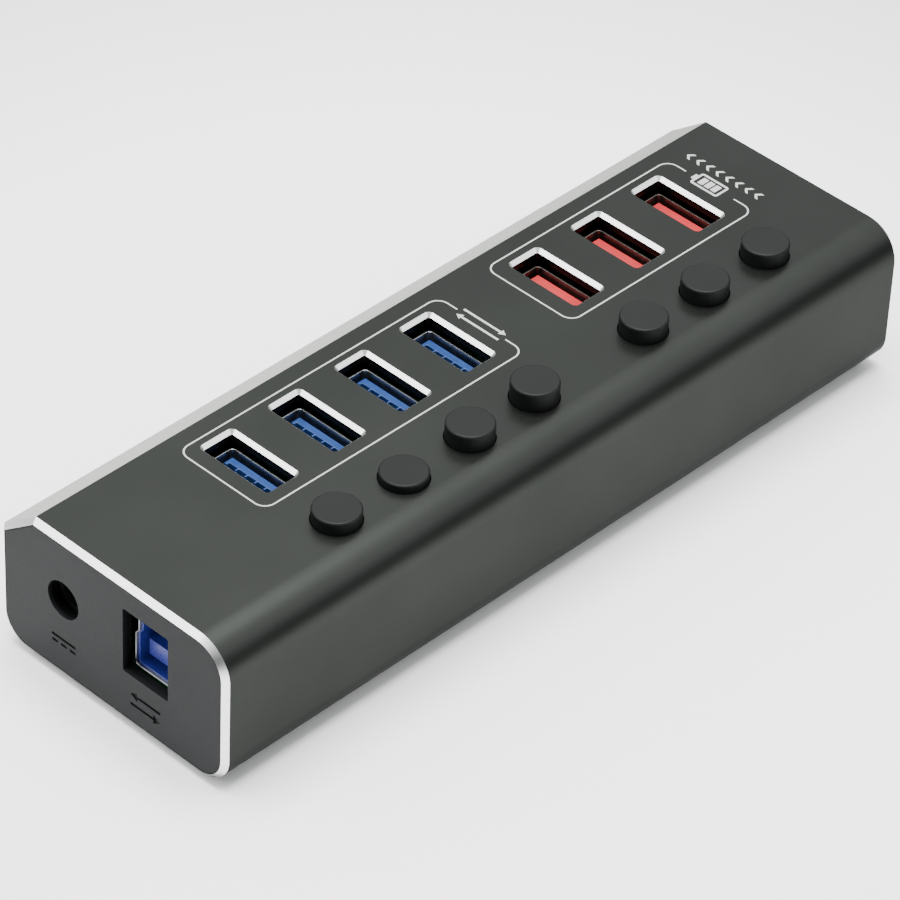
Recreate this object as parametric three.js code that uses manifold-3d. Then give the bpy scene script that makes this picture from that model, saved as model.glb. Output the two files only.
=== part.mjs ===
// A seven-port desktop data and charging hub. A closed aluminium extrusion holds one circuit board
// on internal rails. Seven upright sockets and seven latching push switches stand on the board and
// come out through the top; the upstream socket and the power jack come out through one end cap.
//
// Millimetres, +Z up. X runs along the case, with the connector end at -X. The switches are on the
// -Y side. The origin is under the middle of the case, on the surface that the feet stand on.

import * as THREE from 'three';
import { mergeVertices } from 'three/addons/utils/BufferGeometryUtils.js';
import Module from 'manifold-3d';

const wasm = await Module();
wasm.setup();

// ---- driving dimensions ----

const CASE_LENGTH = 149;
const CASE_WIDTH = 48.5;
const CASE_HEIGHT = 26.75;
const WALL = 1.8;
const TOP_RADIUS = 6.3; // long top edge on the switch side
const SIDE_CHAMFER = [7.1, 5.5]; // long top edge on the other side: across the top, down the side
const BOTTOM_RADIUS = 5.5; // both long bottom edges
const RIM_BEVEL = 0.9; // cut round both end rims of the extrusion
const RIM = 1.0; // wall left outside an end cap
const ARC_STEPS = 8;

const FOOT_RISE = 1.0;
const FOOT_DIAMETER = 8;
const FOOT_TAPER = 0.4;
const FOOT_SEAM = 0.02; // between a foot and the case's underside
const FOOT_FROM_MIDDLE = 62;
const FOOT_ROWS = [-14, 12];

const CAP_THICKNESS = 2.4;
const CAP_GAP = 0.12; // seam between an end cap and the rim
const CAP_SEAT = 2.7; // depth of the rebate that an end cap sits in
const TAB_LENGTH = 5;
const TAB_WIDTH = 6;
const TAB_THICKNESS = 1.2;
const TAB_ROWS = [-10, 6];
const OPENING_LIP = 0.8; // cap thickness left round an opening, with a relief behind it
const OPENING_RELIEF = 0.7; // how much wider the relief is on every side

const CLEARANCE = 0.3; // between neighbouring pieces
const REACH = 1; // how far a cutter runs past the face that it opens

const BOARD_TOP = 9.0; // above the case's underside
const BOARD_THICKNESS = 1.6;
const BOARD_LENGTH = 143;
const RAIL_DEPTH = 1.5;
const RAIL_THICKNESS = 1.2;

// Sockets, measured from the connector end and from the switch-side face.
const DATA_PORTS = [32.8, 46.9, 61.0, 75.1];
const CHARGE_PORTS = [99.6, 113.8, 128.0];
const PORT_LINE = 29.36;
const PORT_WINDOW = [5.86, 13.76]; // X by Y, at the foot of the bevel
const PORT_WINDOW_RADIUS = 0.6;
const PORT_BEVEL = 0.62;
const SHELL_MOUTH = [5.12, 12.5];
const SHELL_SHEET = 0.3;
const SHELL_LIP_DEPTH = 2.8; // below the top face
const TONGUE_TIP_DEPTH = 3.8;
const TONGUE = [1.84, 11.15];
const TONGUE_OFFSET = 1.0; // from the middle of the mouth, towards +X
const TONGUE_BASE_HEIGHT = 4.5;
const SHELL_RADIUS = 0.9;

// Push switches and their caps.
const BUTTON_LINE = 10.8;
const BUTTON_DIAMETER = 7.8;
const BUTTON_EDGE = 0.4;
const BUTTON_HOLE = 8.4;
const BUTTON_LENGTH = 7.5;
const BUTTON_RISE = 2.8; // top of a released cap above the case
const LATCH_DROP = 1.4; // how far a latched switch holds its cap down
const LATCHED_SWITCH = 2;
const CAP_SEATING = [-0.6, 0, 0.1, 0.5, 0, 0, -0.1]; // each cap's own height on its stem
const BUTTON_SIDES = 28;
const SOCKET_ROOF = 1.2; // plastic between a cap's stem socket and its top
const SWITCH_SIZE = 7.6;
const SWITCH_HEIGHT = 9.5;
const SWITCH_WALL = 0.8;
const STEM = 2.9;
const FLANGE = 5.0;
const FLANGE_HEIGHT = 2.0;
const SPRING_RADIUS = 1.6;
const SPRING_WIRE = 0.45;
const SPRING_TURNS = 3.5;
const SPRING_STEPS = 8; // per turn

// Upstream socket and power jack in the connector end, measured as above.
const UPSTREAM_SIDE = 16.9;
const UPSTREAM_HEIGHT = 15.9;
const UPSTREAM_WINDOW = [9.6, 12.0];
const UPSTREAM_WINDOW_RADIUS = 0.3;
const UPSTREAM_SETBACK = 2.1; // of the shell's mouth, behind the end face
const UPSTREAM_DEPTH = 17;
const UPSTREAM_BACK = 3; // thickness of the insulator's back
const UPSTREAM_TONGUE_TIP = 3.5; // behind the end face
const UPSTREAM_BLADE_TIP = 5.5;
const UPSTREAM_TONGUE = [5.6, 3.0]; // Y by Z
const UPSTREAM_TONGUE_LOW = -3.6; // from the middle of the mouth
const UPSTREAM_BLADE = [4.6, 1.0];
const UPSTREAM_BLADE_LOW = 2.4;
const JACK_SIDE = 34.7;
const JACK_HEIGHT = 15.2;
const JACK_HOLE = 6.64;
const JACK_BORE = 6.3;
const JACK_BORE_DEPTH = 9.5;
const JACK_BODY = [13, 9, 11];
const JACK_SETBACK = 2.7; // of the jack's body, behind the end face
const JACK_PIN = 2.0;
const JACK_PIN_TIP = 4.6; // behind the end face
const SYMBOL_DEPTH = 0.25;
const CURRENT_SYMBOL_DROP = 9.0; // from the middle of the opening down to the symbol
const CURRENT_BAR = [5.2, 0.5];
const CURRENT_DASH = [1.3, 0.5];
const CURRENT_DASH_PITCH = 1.95;
const CURRENT_ROWS_APART = 1.1;
const DATA_SYMBOL_DROP = 10.5;
const ARROW = [6.4, 1.7]; // length, and width across the barbs
const ARROW_SHAFT = 0.5;
const ARROW_HEAD = 1.6;
const ARROWS_APART = 1.9;

// ---- materials ----

const finish = (color, roughness, metalness) => new THREE.MeshStandardMaterial({ color, roughness, metalness });

const anodised = finish('#4e514d', 0.5, 0.6);
const capPlastic = finish('#505252', 0.6, 0);
const buttonPlastic = finish('#35393a', 0.6, 0);
const rubber = finish('#1c1d1e', 0.9, 0);
const boardLaminate = finish('#12301f', 0.5, 0);
const tinnedSteel = finish('#b9bcbb', 0.3, 1);
const bluePlastic = finish('#3f5cae', 0.4, 0);
const redPlastic = finish('#d95f67', 0.45, 0);
const blackPlastic = finish('#161718', 0.5, 0);
const whitePlastic = finish('#e4e4df', 0.5, 0);
const springSteel = finish('#9a9c9b', 0.35, 1);

// ---- helpers ----

const fromEnd = (distance) => distance - CASE_LENGTH / 2;
const fromSide = (distance) => distance - CASE_WIDTH / 2;

// The closed solid of a geometry, for joining and cutting.
function solid(geometry) {
  const bare = geometry.clone();
  bare.deleteAttribute('normal');
  bare.deleteAttribute('uv');
  const merged = mergeVertices(bare);
  const vertProperties = new Float32Array(merged.attributes.position.array);
  const triVerts = new Uint32Array(merged.index.array);
  return new wasm.Manifold(new wasm.Mesh({ numProp: 3, vertProperties, triVerts }));
}

function geometryOf(body) {
  const mesh = body.getMesh();
  const geometry = new THREE.BufferGeometry();
  geometry.setAttribute('position', new THREE.BufferAttribute(new Float32Array(mesh.vertProperties), 3));
  geometry.setIndex(new THREE.BufferAttribute(new Uint32Array(mesh.triVerts), 1));
  const faceted = geometry.toNonIndexed();
  faceted.computeVertexNormals();
  return faceted;
}

// A closed outline through [x, y, radius] corners given anticlockwise, each rounded by an arc.
function roundedShape(corners, steps = ARC_STEPS) {
  const points = [];
  corners.forEach(([x, y, radius = 0], index) => {
    const corner = new THREE.Vector2(x, y);
    if (radius === 0) {
      points.push(corner);
      return;
    }
    const before = corners[(index + corners.length - 1) % corners.length];
    const after = corners[(index + 1) % corners.length];
    const toBefore = new THREE.Vector2(before[0] - x, before[1] - y).normalize();
    const toAfter = new THREE.Vector2(after[0] - x, after[1] - y).normalize();
    const halfAngle = Math.acos(toBefore.dot(toAfter)) / 2;
    const bisector = toBefore.clone().add(toAfter).normalize();
    const centre = corner.clone().addScaledVector(bisector, radius / Math.sin(halfAngle));
    const start = corner.clone().addScaledVector(toBefore, radius / Math.tan(halfAngle));
    const sweep = (Math.PI - 2 * halfAngle) * Math.sign(toAfter.cross(toBefore));
    for (let step = 0; step <= steps; step += 1) {
      points.push(start.clone().rotateAround(centre, (sweep * step) / steps));
    }
  });
  return new THREE.Shape(points);
}

function roundedRectangle(width, height, radius, steps) {
  const x = width / 2;
  const y = height / 2;
  return roundedShape([[-x, -y, radius], [x, -y, radius], [x, y, radius], [-x, y, radius]], steps);
}

const prism = (shape, depth) => new THREE.ExtrudeGeometry(shape, { depth, bevelEnabled: false });

// A prism whose two ends are drawn in by a 45 degree bevel; its length includes the bevels.
function bevelledPrism(shape, length, bevel, offset) {
  const geometry = new THREE.ExtrudeGeometry(shape, {
    depth: length - 2 * bevel,
    bevelThickness: bevel,
    bevelSize: bevel,
    bevelOffset: offset,
    bevelSegments: 1,
  });
  return geometry.translate(0, 0, bevel);
}

// Turns a shape's x, y and depth to the case's Y, Z and X.
const SHAPE_TO_X = new THREE.Matrix4().makeBasis(
  new THREE.Vector3(0, 1, 0),
  new THREE.Vector3(0, 0, 1),
  new THREE.Vector3(1, 0, 0),
);
const alongX = (geometry) => geometry.applyMatrix4(SHAPE_TO_X);

// A block from one corner to the opposite one.
function block(low, high) {
  const size = high.map((value, axis) => value - low[axis]);
  const middle = high.map((value, axis) => (value + low[axis]) / 2);
  return new THREE.BoxGeometry(...size).translate(...middle);
}

// A block that stands on z = 0 round the Z axis.
const post = (sizeX, sizeY, height) => block([-sizeX / 2, -sizeY / 2, 0], [sizeX / 2, sizeY / 2, height]);

const disc = (diameter, height, sides) => {
  const geometry = new THREE.CylinderGeometry(diameter / 2, diameter / 2, height, sides);
  return geometry.rotateX(Math.PI / 2).translate(0, 0, height / 2);
};

const object = new THREE.Group();
const insideCase = new THREE.Group();
insideCase.position.z = FOOT_RISE;
object.add(insideCase);

function addPart(name, geometry, material, place = [0, 0, 0], parent = insideCase) {
  const mesh = new THREE.Mesh(geometry, material);
  mesh.name = name;
  mesh.position.set(...place);
  parent.add(mesh);
}

// ---- case ----

// The extrusion's section, drawn in by inset all round: x is the case's Y and y its Z.
function caseOutline(inset) {
  const side = CASE_WIDTH / 2 - inset;
  const top = CASE_HEIGHT - inset;
  const [across, down] = SIDE_CHAMFER;
  const slope = Math.hypot(across, down);
  const acrossLeft = across - inset * ((across + down - slope) / down);
  const downLeft = down - inset * ((across + down - slope) / across);
  return roundedShape([
    [-side, inset, BOTTOM_RADIUS - inset],
    [side, inset, BOTTOM_RADIUS - inset],
    [side, top - downLeft],
    [side - acrossLeft, top],
    [-side, top, TOP_RADIUS - inset],
  ]);
}

function windowCutter() {
  const [width, length] = PORT_WINDOW;
  const shape = roundedRectangle(width, length, PORT_WINDOW_RADIUS, 3);
  const straight = prism(shape, WALL + 2 * REACH).translate(0, 0, CASE_HEIGHT - WALL - REACH);
  const flare = bevelledPrism(shape, 4 * REACH, REACH, 0).translate(0, 0, CASE_HEIGHT - PORT_BEVEL);
  return solid(straight).add(solid(flare));
}

function rails() {
  const wall = CASE_WIDTH / 2 - WALL;
  const end = CASE_LENGTH / 2 - CAP_SEAT - CLEARANCE;
  const lower = BOARD_TOP - BOARD_THICKNESS - CLEARANCE - RAIL_THICKNESS;
  const upper = BOARD_TOP + CLEARANCE;
  return [-1, 1].flatMap((side) => [lower, upper].map((z) => {
    const near = side * (wall - RAIL_DEPTH);
    const far = side * (wall + WALL / 2);
    return solid(block([-end, Math.min(near, far), z], [end, Math.max(near, far), z + RAIL_THICKNESS]));
  }));
}

const portPlaces = [...DATA_PORTS, ...CHARGE_PORTS].map((distance) => [fromEnd(distance), fromSide(PORT_LINE)]);
const buttonPlaces = portPlaces.map(([x]) => [x, fromSide(BUTTON_LINE)]);

function buildCase() {
  const outside = alongX(bevelledPrism(caseOutline(0), CASE_LENGTH, RIM_BEVEL, -RIM_BEVEL));
  const hollow = alongX(prism(caseOutline(WALL), CASE_LENGTH + 2 * REACH)).translate(-REACH, 0, 0);
  const seat = alongX(prism(caseOutline(RIM), CAP_SEAT + REACH));
  let body = solid(outside).subtract(solid(hollow));
  body = body.subtract(solid(seat.clone().translate(-REACH, 0, 0)));
  body = body.subtract(solid(seat.clone().translate(CASE_LENGTH - CAP_SEAT, 0, 0)));
  body = body.translate([-CASE_LENGTH / 2, 0, 0]);
  rails().forEach((rail) => {
    body = body.add(rail);
  });
  const portCutter = windowCutter();
  portPlaces.forEach(([x, y]) => {
    body = body.subtract(portCutter.translate([x, y, 0]));
  });
  const hole = disc(BUTTON_HOLE, WALL + 2 * REACH, BUTTON_SIDES);
  const holeCutter = solid(hole.translate(0, 0, CASE_HEIGHT - WALL - REACH));
  buttonPlaces.forEach(([x, y]) => {
    body = body.subtract(holeCutter.translate([x, y, 0]));
  });
  return geometryOf(body);
}

addPart('housing', buildCase(), anodised);

// ---- end caps ----

// Snap tabs that reach into the case under its top and over its floor.
function capTabs() {
  const floor = WALL + CLEARANCE;
  const ceiling = CASE_HEIGHT - WALL - CLEARANCE - TAB_THICKNESS;
  const start = CAP_THICKNESS - CLEARANCE;
  const end = CAP_THICKNESS + TAB_LENGTH;
  return TAB_ROWS.flatMap((y) => [floor, ceiling].map((z) => solid(block(
    [start, y - TAB_WIDTH / 2, z],
    [end, y + TAB_WIDTH / 2, z + TAB_THICKNESS],
  ))));
}

// The blank cap, with its outer face at x = 0 and its tabs towards +X.
function blankCap() {
  let body = solid(alongX(prism(caseOutline(RIM + CAP_GAP), CAP_THICKNESS)));
  capTabs().forEach((tab) => {
    body = body.add(tab);
  });
  return body;
}

// Cuts an opening with its middle at y, z through the cap, and the wider relief behind it.
function opening(shape, relief, y, z) {
  const through = alongX(prism(shape, CAP_THICKNESS + 2 * REACH)).translate(-REACH, y, z);
  const behind = alongX(prism(relief, CAP_THICKNESS)).translate(OPENING_LIP, y, z);
  return solid(through).add(solid(behind));
}

function circle(diameter) {
  const edge = new THREE.Shape().absarc(0, 0, diameter / 2, 0, 2 * Math.PI);
  return new THREE.Shape(edge.getSpacedPoints(BUTTON_SIDES).slice(0, -1));
}

// Cuts a flat symbol into the outer face, with its middle at y, z.
function sunkSymbol(shape, y, z) {
  return solid(alongX(prism(shape, SYMBOL_DEPTH + REACH)).translate(-REACH, y, z));
}

// Direct current: one long bar over three short ones.
function directCurrentSymbol(y, z) {
  const bar = roundedRectangle(...CURRENT_BAR, 0, 1);
  const dash = roundedRectangle(...CURRENT_DASH, 0, 1);
  const dashes = [-1, 0, 1].map((step) => sunkSymbol(dash, y + step * CURRENT_DASH_PITCH, z));
  return [sunkSymbol(bar, y, z + CURRENT_ROWS_APART), ...dashes];
}

// Data both ways: two arrows that point opposite ways.
function twoWaySymbol(y, z) {
  const tip = ARROW[0] / 2;
  const neck = tip - ARROW_HEAD;
  const barb = ARROW[1] / 2;
  const shaft = ARROW_SHAFT / 2;
  const arrow = (way) => roundedShape([
    [-tip * way, -shaft * way],
    [neck * way, -shaft * way],
    [neck * way, -barb * way],
    [tip * way, 0],
    [neck * way, barb * way],
    [neck * way, shaft * way],
    [-tip * way, shaft * way],
  ]);
  return [1, -1].map((way) => sunkSymbol(arrow(way), y, z + (way * ARROWS_APART) / 2));
}

function buildFrontCap() {
  const upstream = [fromSide(UPSTREAM_SIDE), UPSTREAM_HEIGHT];
  const jack = [fromSide(JACK_SIDE), JACK_HEIGHT];
  const windowShape = roundedRectangle(...UPSTREAM_WINDOW, UPSTREAM_WINDOW_RADIUS, 2);
  const reliefSize = UPSTREAM_WINDOW.map((size) => size + 2 * OPENING_RELIEF);
  const windowRelief = roundedRectangle(...reliefSize, UPSTREAM_WINDOW_RADIUS, 2);
  const cutters = [
    opening(windowShape, windowRelief, ...upstream),
    opening(circle(JACK_HOLE), circle(JACK_HOLE + 2 * OPENING_RELIEF), ...jack),
    ...directCurrentSymbol(jack[0], jack[1] - CURRENT_SYMBOL_DROP),
    ...twoWaySymbol(upstream[0], upstream[1] - DATA_SYMBOL_DROP),
  ];
  let body = blankCap();
  cutters.forEach((cutter) => {
    body = body.subtract(cutter);
  });
  return geometryOf(body);
}

addPart('front_end_cap', buildFrontCap(), capPlastic, [-CASE_LENGTH / 2, 0, 0]);

const rearCap = geometryOf(blankCap().mirror([1, 0, 0]));
addPart('rear_end_cap', rearCap, capPlastic, [CASE_LENGTH / 2, 0, 0]);

// ---- feet ----

const footHeight = FOOT_RISE - FOOT_SEAM;
const footGeometry = new THREE.CylinderGeometry(
  FOOT_DIAMETER / 2,
  FOOT_DIAMETER / 2 - FOOT_TAPER,
  footHeight,
  BUTTON_SIDES,
).rotateX(Math.PI / 2).translate(0, 0, footHeight / 2);

const footPlaces = [-1, 1].flatMap((end) => FOOT_ROWS.map((y) => [end * FOOT_FROM_MIDDLE, y, 0]));
footPlaces.forEach((place, index) => {
  addPart(`rubber_foot_${index + 1}`, footGeometry, rubber, place, object);
});

// ---- circuit board and what stands flat on it ----

const boardWidth = CASE_WIDTH - 2 * WALL - 2 * CLEARANCE;
const board = block(
  [-BOARD_LENGTH / 2, -boardWidth / 2, BOARD_TOP - BOARD_THICKNESS],
  [BOARD_LENGTH / 2, boardWidth / 2, BOARD_TOP],
);
addPart('circuit_board', board, boardLaminate);

const SEATED = BOARD_TOP + CLEARANCE;
const CHIP = [7, 7, 1];
const INDUCTOR = [6.6, 6.6, 3];
const CRYSTAL = [5, 3.2, 1.1];
const CAPACITOR = [6.3, 7.7]; // diameter by height
const onBoard = (distance, side) => [fromEnd(distance), fromSide(side), SEATED];
addPart('hub_controller_chip_1', post(...CHIP), blackPlastic, onBoard(24.4, 8));
addPart('hub_controller_chip_2', post(...CHIP), blackPlastic, onBoard(87.4, 27));
addPart('power_inductor', post(...INDUCTOR), blackPlastic, onBoard(24, 29));
addPart('clock_crystal', post(...CRYSTAL), tinnedSteel, onBoard(25, 19));
addPart('supply_capacitor', disc(...CAPACITOR, BUTTON_SIDES), tinnedSteel, onBoard(23, 38.5));

// ---- seven upright sockets ----

function socketShell() {
  const [width, length] = SHELL_MOUTH;
  const outline = roundedRectangle(width + 2 * SHELL_SHEET, length + 2 * SHELL_SHEET, SHELL_RADIUS, 3);
  const mouth = roundedRectangle(width, length, SHELL_RADIUS - SHELL_SHEET, 3);
  outline.holes.push(new THREE.Path(mouth.getPoints().reverse()));
  return prism(outline, CASE_HEIGHT - SHELL_LIP_DEPTH - SEATED);
}

// The insulator: a base that fills the foot of the shell, and the tongue that carries the contacts.
function socketTongue() {
  const [thickness, length] = TONGUE;
  const base = post(SHELL_MOUTH[0] - 2 * CLEARANCE, SHELL_MOUTH[1] - 2 * CLEARANCE, TONGUE_BASE_HEIGHT);
  const tongueHeight = CASE_HEIGHT - TONGUE_TIP_DEPTH - SEATED;
  const tongue = post(thickness, length, tongueHeight).translate(TONGUE_OFFSET, 0, 0);
  return geometryOf(solid(base).add(solid(tongue)));
}

const shellGeometry = socketShell();
const tongueGeometry = socketTongue();
portPlaces.forEach(([x, y], index) => {
  const tonguePlastic = index < DATA_PORTS.length ? bluePlastic : redPlastic;
  addPart(`usb_a_shell_${index + 1}`, shellGeometry, tinnedSteel, [x, y, SEATED]);
  addPart(`usb_a_tongue_${index + 1}`, tongueGeometry, tonguePlastic, [x, y, SEATED]);
});

// ---- upstream socket ----

// The mouth's section: wide and square below, narrower above. x is the case's Y, y its Z.
function upstreamSection(grow) {
  return roundedShape([
    [-4.2 - grow, -5.6 - grow, 0.5],
    [4.2 + grow, -5.6 - grow, 0.5],
    [4.2 + grow, 0.5],
    [3.5 + grow, 1.3],
    [3.5 + grow, 5.6 + grow, 0.5],
    [-3.5 - grow, 5.6 + grow, 0.5],
    [-3.5 - grow, 1.3],
    [-4.2 - grow, 0.5],
  ], 3);
}

function upstreamShell() {
  const outline = upstreamSection(SHELL_SHEET);
  outline.holes.push(new THREE.Path(upstreamSection(0).getPoints().reverse()));
  return alongX(prism(outline, UPSTREAM_DEPTH));
}

// A bar that stands out from the insulator's back, centred in Y.
function upstreamBar([width, height], low, tip) {
  const root = UPSTREAM_DEPTH - UPSTREAM_BACK / 2;
  return solid(block([tip - UPSTREAM_SETBACK, -width / 2, low], [root, width / 2, low + height]));
}

// The insulator: its back closes the shell, and carries a square tongue below a thin blade.
function upstreamInsulator() {
  const backShape = prism(upstreamSection(-CLEARANCE), UPSTREAM_BACK);
  const back = solid(alongX(backShape).translate(UPSTREAM_DEPTH - UPSTREAM_BACK, 0, 0));
  const tongue = upstreamBar(UPSTREAM_TONGUE, UPSTREAM_TONGUE_LOW, UPSTREAM_TONGUE_TIP);
  const blade = upstreamBar(UPSTREAM_BLADE, UPSTREAM_BLADE_LOW, UPSTREAM_BLADE_TIP);
  return geometryOf(back.add(tongue).add(blade));
}

const upstreamPlace = [fromEnd(UPSTREAM_SETBACK), fromSide(UPSTREAM_SIDE), UPSTREAM_HEIGHT];
addPart('usb_b_shell', upstreamShell(), tinnedSteel, upstreamPlace);
addPart('usb_b_insulator', upstreamInsulator(), bluePlastic, upstreamPlace);

// ---- power jack ----

function jackBody() {
  const [depth, width, height] = JACK_BODY;
  const low = SEATED - JACK_HEIGHT;
  const body = solid(block([0, -width / 2, low], [depth, width / 2, low + height]));
  const bore = new THREE.CylinderGeometry(JACK_BORE / 2, JACK_BORE / 2, JACK_BORE_DEPTH + REACH, BUTTON_SIDES);
  const cutter = bore.rotateZ(Math.PI / 2).translate((JACK_BORE_DEPTH - REACH) / 2, 0, 0);
  return geometryOf(body.subtract(solid(cutter)));
}

// The centre pin, standing off the floor of the bore, with a rounded tip.
function jackPin() {
  const root = JACK_BORE_DEPTH - CLEARANCE;
  const tip = JACK_PIN_TIP - JACK_SETBACK;
  const radius = JACK_PIN / 2;
  const profile = [
    new THREE.Vector2(0, tip),
    new THREE.Vector2(radius * 0.6, tip + 0.15),
    new THREE.Vector2(radius, tip + 0.6),
    new THREE.Vector2(radius, root),
    new THREE.Vector2(0, root),
  ];
  return new THREE.LatheGeometry(profile, 16).rotateZ(-Math.PI / 2);
}

const jackPlace = [fromEnd(JACK_SETBACK), fromSide(JACK_SIDE), JACK_HEIGHT];
addPart('dc_jack_body', jackBody(), blackPlastic, jackPlace);
addPart('dc_jack_pin', jackPin(), tinnedSteel, jackPlace);

// ---- seven latching push switches ----

const CAVITY_FLOOR = SWITCH_WALL;
const CAVITY_TOP = SWITCH_HEIGHT - SWITCH_WALL;
const FLANGE_TOP = CAVITY_TOP - CLEARANCE; // of a released switch
const FLANGE_BOTTOM = FLANGE_TOP - FLANGE_HEIGHT;
const CAP_TOP = CASE_HEIGHT + BUTTON_RISE - SEATED; // of a released cap
const LOWEST_SEATING = Math.min(...CAP_SEATING);
const STEM_TOP = CAP_TOP - SOCKET_ROOF - CLEARANCE + LOWEST_SEATING;

function switchBody() {
  const cavitySize = SWITCH_SIZE - 2 * SWITCH_WALL;
  const mouthSize = STEM + 2 * CLEARANCE;
  const cavity = post(cavitySize, cavitySize, CAVITY_TOP - CAVITY_FLOOR).translate(0, 0, CAVITY_FLOOR);
  const mouth = post(mouthSize, mouthSize, SWITCH_HEIGHT).translate(0, 0, CAVITY_FLOOR + REACH);
  return geometryOf(solid(post(SWITCH_SIZE, SWITCH_SIZE, SWITCH_HEIGHT)).subtract(solid(cavity).add(solid(mouth))));
}

function switchPlunger() {
  const flange = post(FLANGE, FLANGE, FLANGE_HEIGHT).translate(0, 0, FLANGE_BOTTOM);
  const stem = post(STEM, STEM, STEM_TOP - FLANGE_BOTTOM).translate(0, 0, FLANGE_BOTTOM);
  return geometryOf(solid(flange).add(solid(stem)));
}

// A cap with a softened top edge and a square socket for the stem.
function buttonCap() {
  const radius = BUTTON_DIAMETER / 2;
  const bottom = CAP_TOP - BUTTON_LENGTH;
  const profile = [new THREE.Vector2(0, bottom), new THREE.Vector2(radius, bottom)];
  const edgeSteps = 3;
  for (let step = 0; step <= edgeSteps; step += 1) {
    const angle = (Math.PI / 2) * (step / edgeSteps);
    const out = radius - BUTTON_EDGE + BUTTON_EDGE * Math.cos(angle);
    profile.push(new THREE.Vector2(out, CAP_TOP - BUTTON_EDGE + BUTTON_EDGE * Math.sin(angle)));
  }
  profile.push(new THREE.Vector2(0, CAP_TOP));
  const turned = new THREE.LatheGeometry(profile, BUTTON_SIDES).rotateX(Math.PI / 2);
  const socketSize = STEM + 2 * CLEARANCE;
  const socketDepth = BUTTON_LENGTH - SOCKET_ROOF + REACH;
  const socket = post(socketSize, socketSize, socketDepth).translate(0, 0, bottom - REACH);
  return geometryOf(solid(turned).subtract(solid(socket)));
}

class Helix extends THREE.Curve {
  constructor(radius, height, turns) {
    super();
    this.radius = radius;
    this.height = height;
    this.turns = turns;
  }

  getPoint(t, target = new THREE.Vector3()) {
    const angle = 2 * Math.PI * this.turns * t;
    return target.set(this.radius * Math.cos(angle), this.radius * Math.sin(angle), this.height * t);
  }
}

// The return spring, from the floor of the switch to the flange, which stands drop lower than when released.
function returnSpring(drop) {
  const wire = new THREE.Shape().absarc(0, 0, SPRING_WIRE / 2, 0, 2 * Math.PI);
  const section = new THREE.Shape(wire.getSpacedPoints(6).slice(0, -1));
  const foot = CAVITY_FLOOR + CLEARANCE + SPRING_WIRE / 2;
  const top = FLANGE_BOTTOM - CLEARANCE - SPRING_WIRE / 2 - drop;
  const extrudePath = new Helix(SPRING_RADIUS, top - foot, SPRING_TURNS);
  const steps = Math.round(SPRING_STEPS * SPRING_TURNS);
  return new THREE.ExtrudeGeometry(section, { steps, extrudePath }).translate(0, 0, foot);
}

const bodyGeometry = switchBody();
const plungerGeometry = switchPlunger();
const capGeometry = buttonCap();
buttonPlaces.forEach(([x, y], index) => {
  const number = index + 1;
  const drop = number === LATCHED_SWITCH ? LATCH_DROP : 0;
  addPart(`switch_body_${number}`, bodyGeometry, blackPlastic, [x, y, SEATED]);
  addPart(`switch_spring_${number}`, returnSpring(drop), springSteel, [x, y, SEATED]);
  addPart(`switch_plunger_${number}`, plungerGeometry, whitePlastic, [x, y, SEATED - drop]);
  addPart(`button_cap_${number}`, capGeometry, buttonPlastic, [x, y, SEATED - drop + CAP_SEATING[index]]);
});

export default object;
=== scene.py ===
# %% [markdown]
# # A desktop hub, dressed around its CAD frame
#
# The CAD model already holds the right shapes in the right places. What it can't hold is how the
# hub looks: the soft anodised skin, the freshly milled silver edges, the moulded grain of the
# plastics and the fine sheet metal in the sockets. This lesson adds those, one piece at a time.
# The first cell loads the CAD nodes. Each of them is an object at the origin whose mesh holds its
# place in metres, so every size below can be read from them.

# %% Load the frame
import math

import bmesh
import bpy
from mathutils import Matrix, Vector


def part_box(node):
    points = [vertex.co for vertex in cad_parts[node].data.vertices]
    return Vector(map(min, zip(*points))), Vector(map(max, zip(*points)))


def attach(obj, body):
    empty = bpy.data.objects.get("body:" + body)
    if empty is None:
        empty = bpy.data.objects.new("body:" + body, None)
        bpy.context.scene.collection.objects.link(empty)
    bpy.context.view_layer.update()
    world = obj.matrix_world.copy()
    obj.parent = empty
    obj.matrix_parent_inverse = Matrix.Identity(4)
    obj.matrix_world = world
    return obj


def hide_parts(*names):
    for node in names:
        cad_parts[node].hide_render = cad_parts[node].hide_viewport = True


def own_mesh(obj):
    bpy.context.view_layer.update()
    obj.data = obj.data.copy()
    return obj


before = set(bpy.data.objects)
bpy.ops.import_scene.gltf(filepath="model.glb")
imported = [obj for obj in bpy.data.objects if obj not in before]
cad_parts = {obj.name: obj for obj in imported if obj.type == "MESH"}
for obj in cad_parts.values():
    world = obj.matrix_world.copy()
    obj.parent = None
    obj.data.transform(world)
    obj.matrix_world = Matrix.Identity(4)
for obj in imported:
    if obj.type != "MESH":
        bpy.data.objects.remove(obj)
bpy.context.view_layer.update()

MM = 0.001


# %% [markdown]
# ## Helpers for working as by hand
#
# A modelling operator acts on everything that is selected, and the CAD nodes arrive selected. So
# each step starts from a clean selection. Inside a piece, faces and edges are picked in code by
# their place or their direction, which is what a person does with the mouse.

# %% Selection and edit-mode helpers
def only(piece):
    """Leaves one object selected and active, in object mode."""
    if bpy.context.object and bpy.context.object.mode != "OBJECT":
        bpy.ops.object.mode_set(mode="OBJECT")
    bpy.ops.object.select_all(action="DESELECT")
    piece.select_set(True)
    bpy.context.view_layer.objects.active = piece
    return piece


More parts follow.
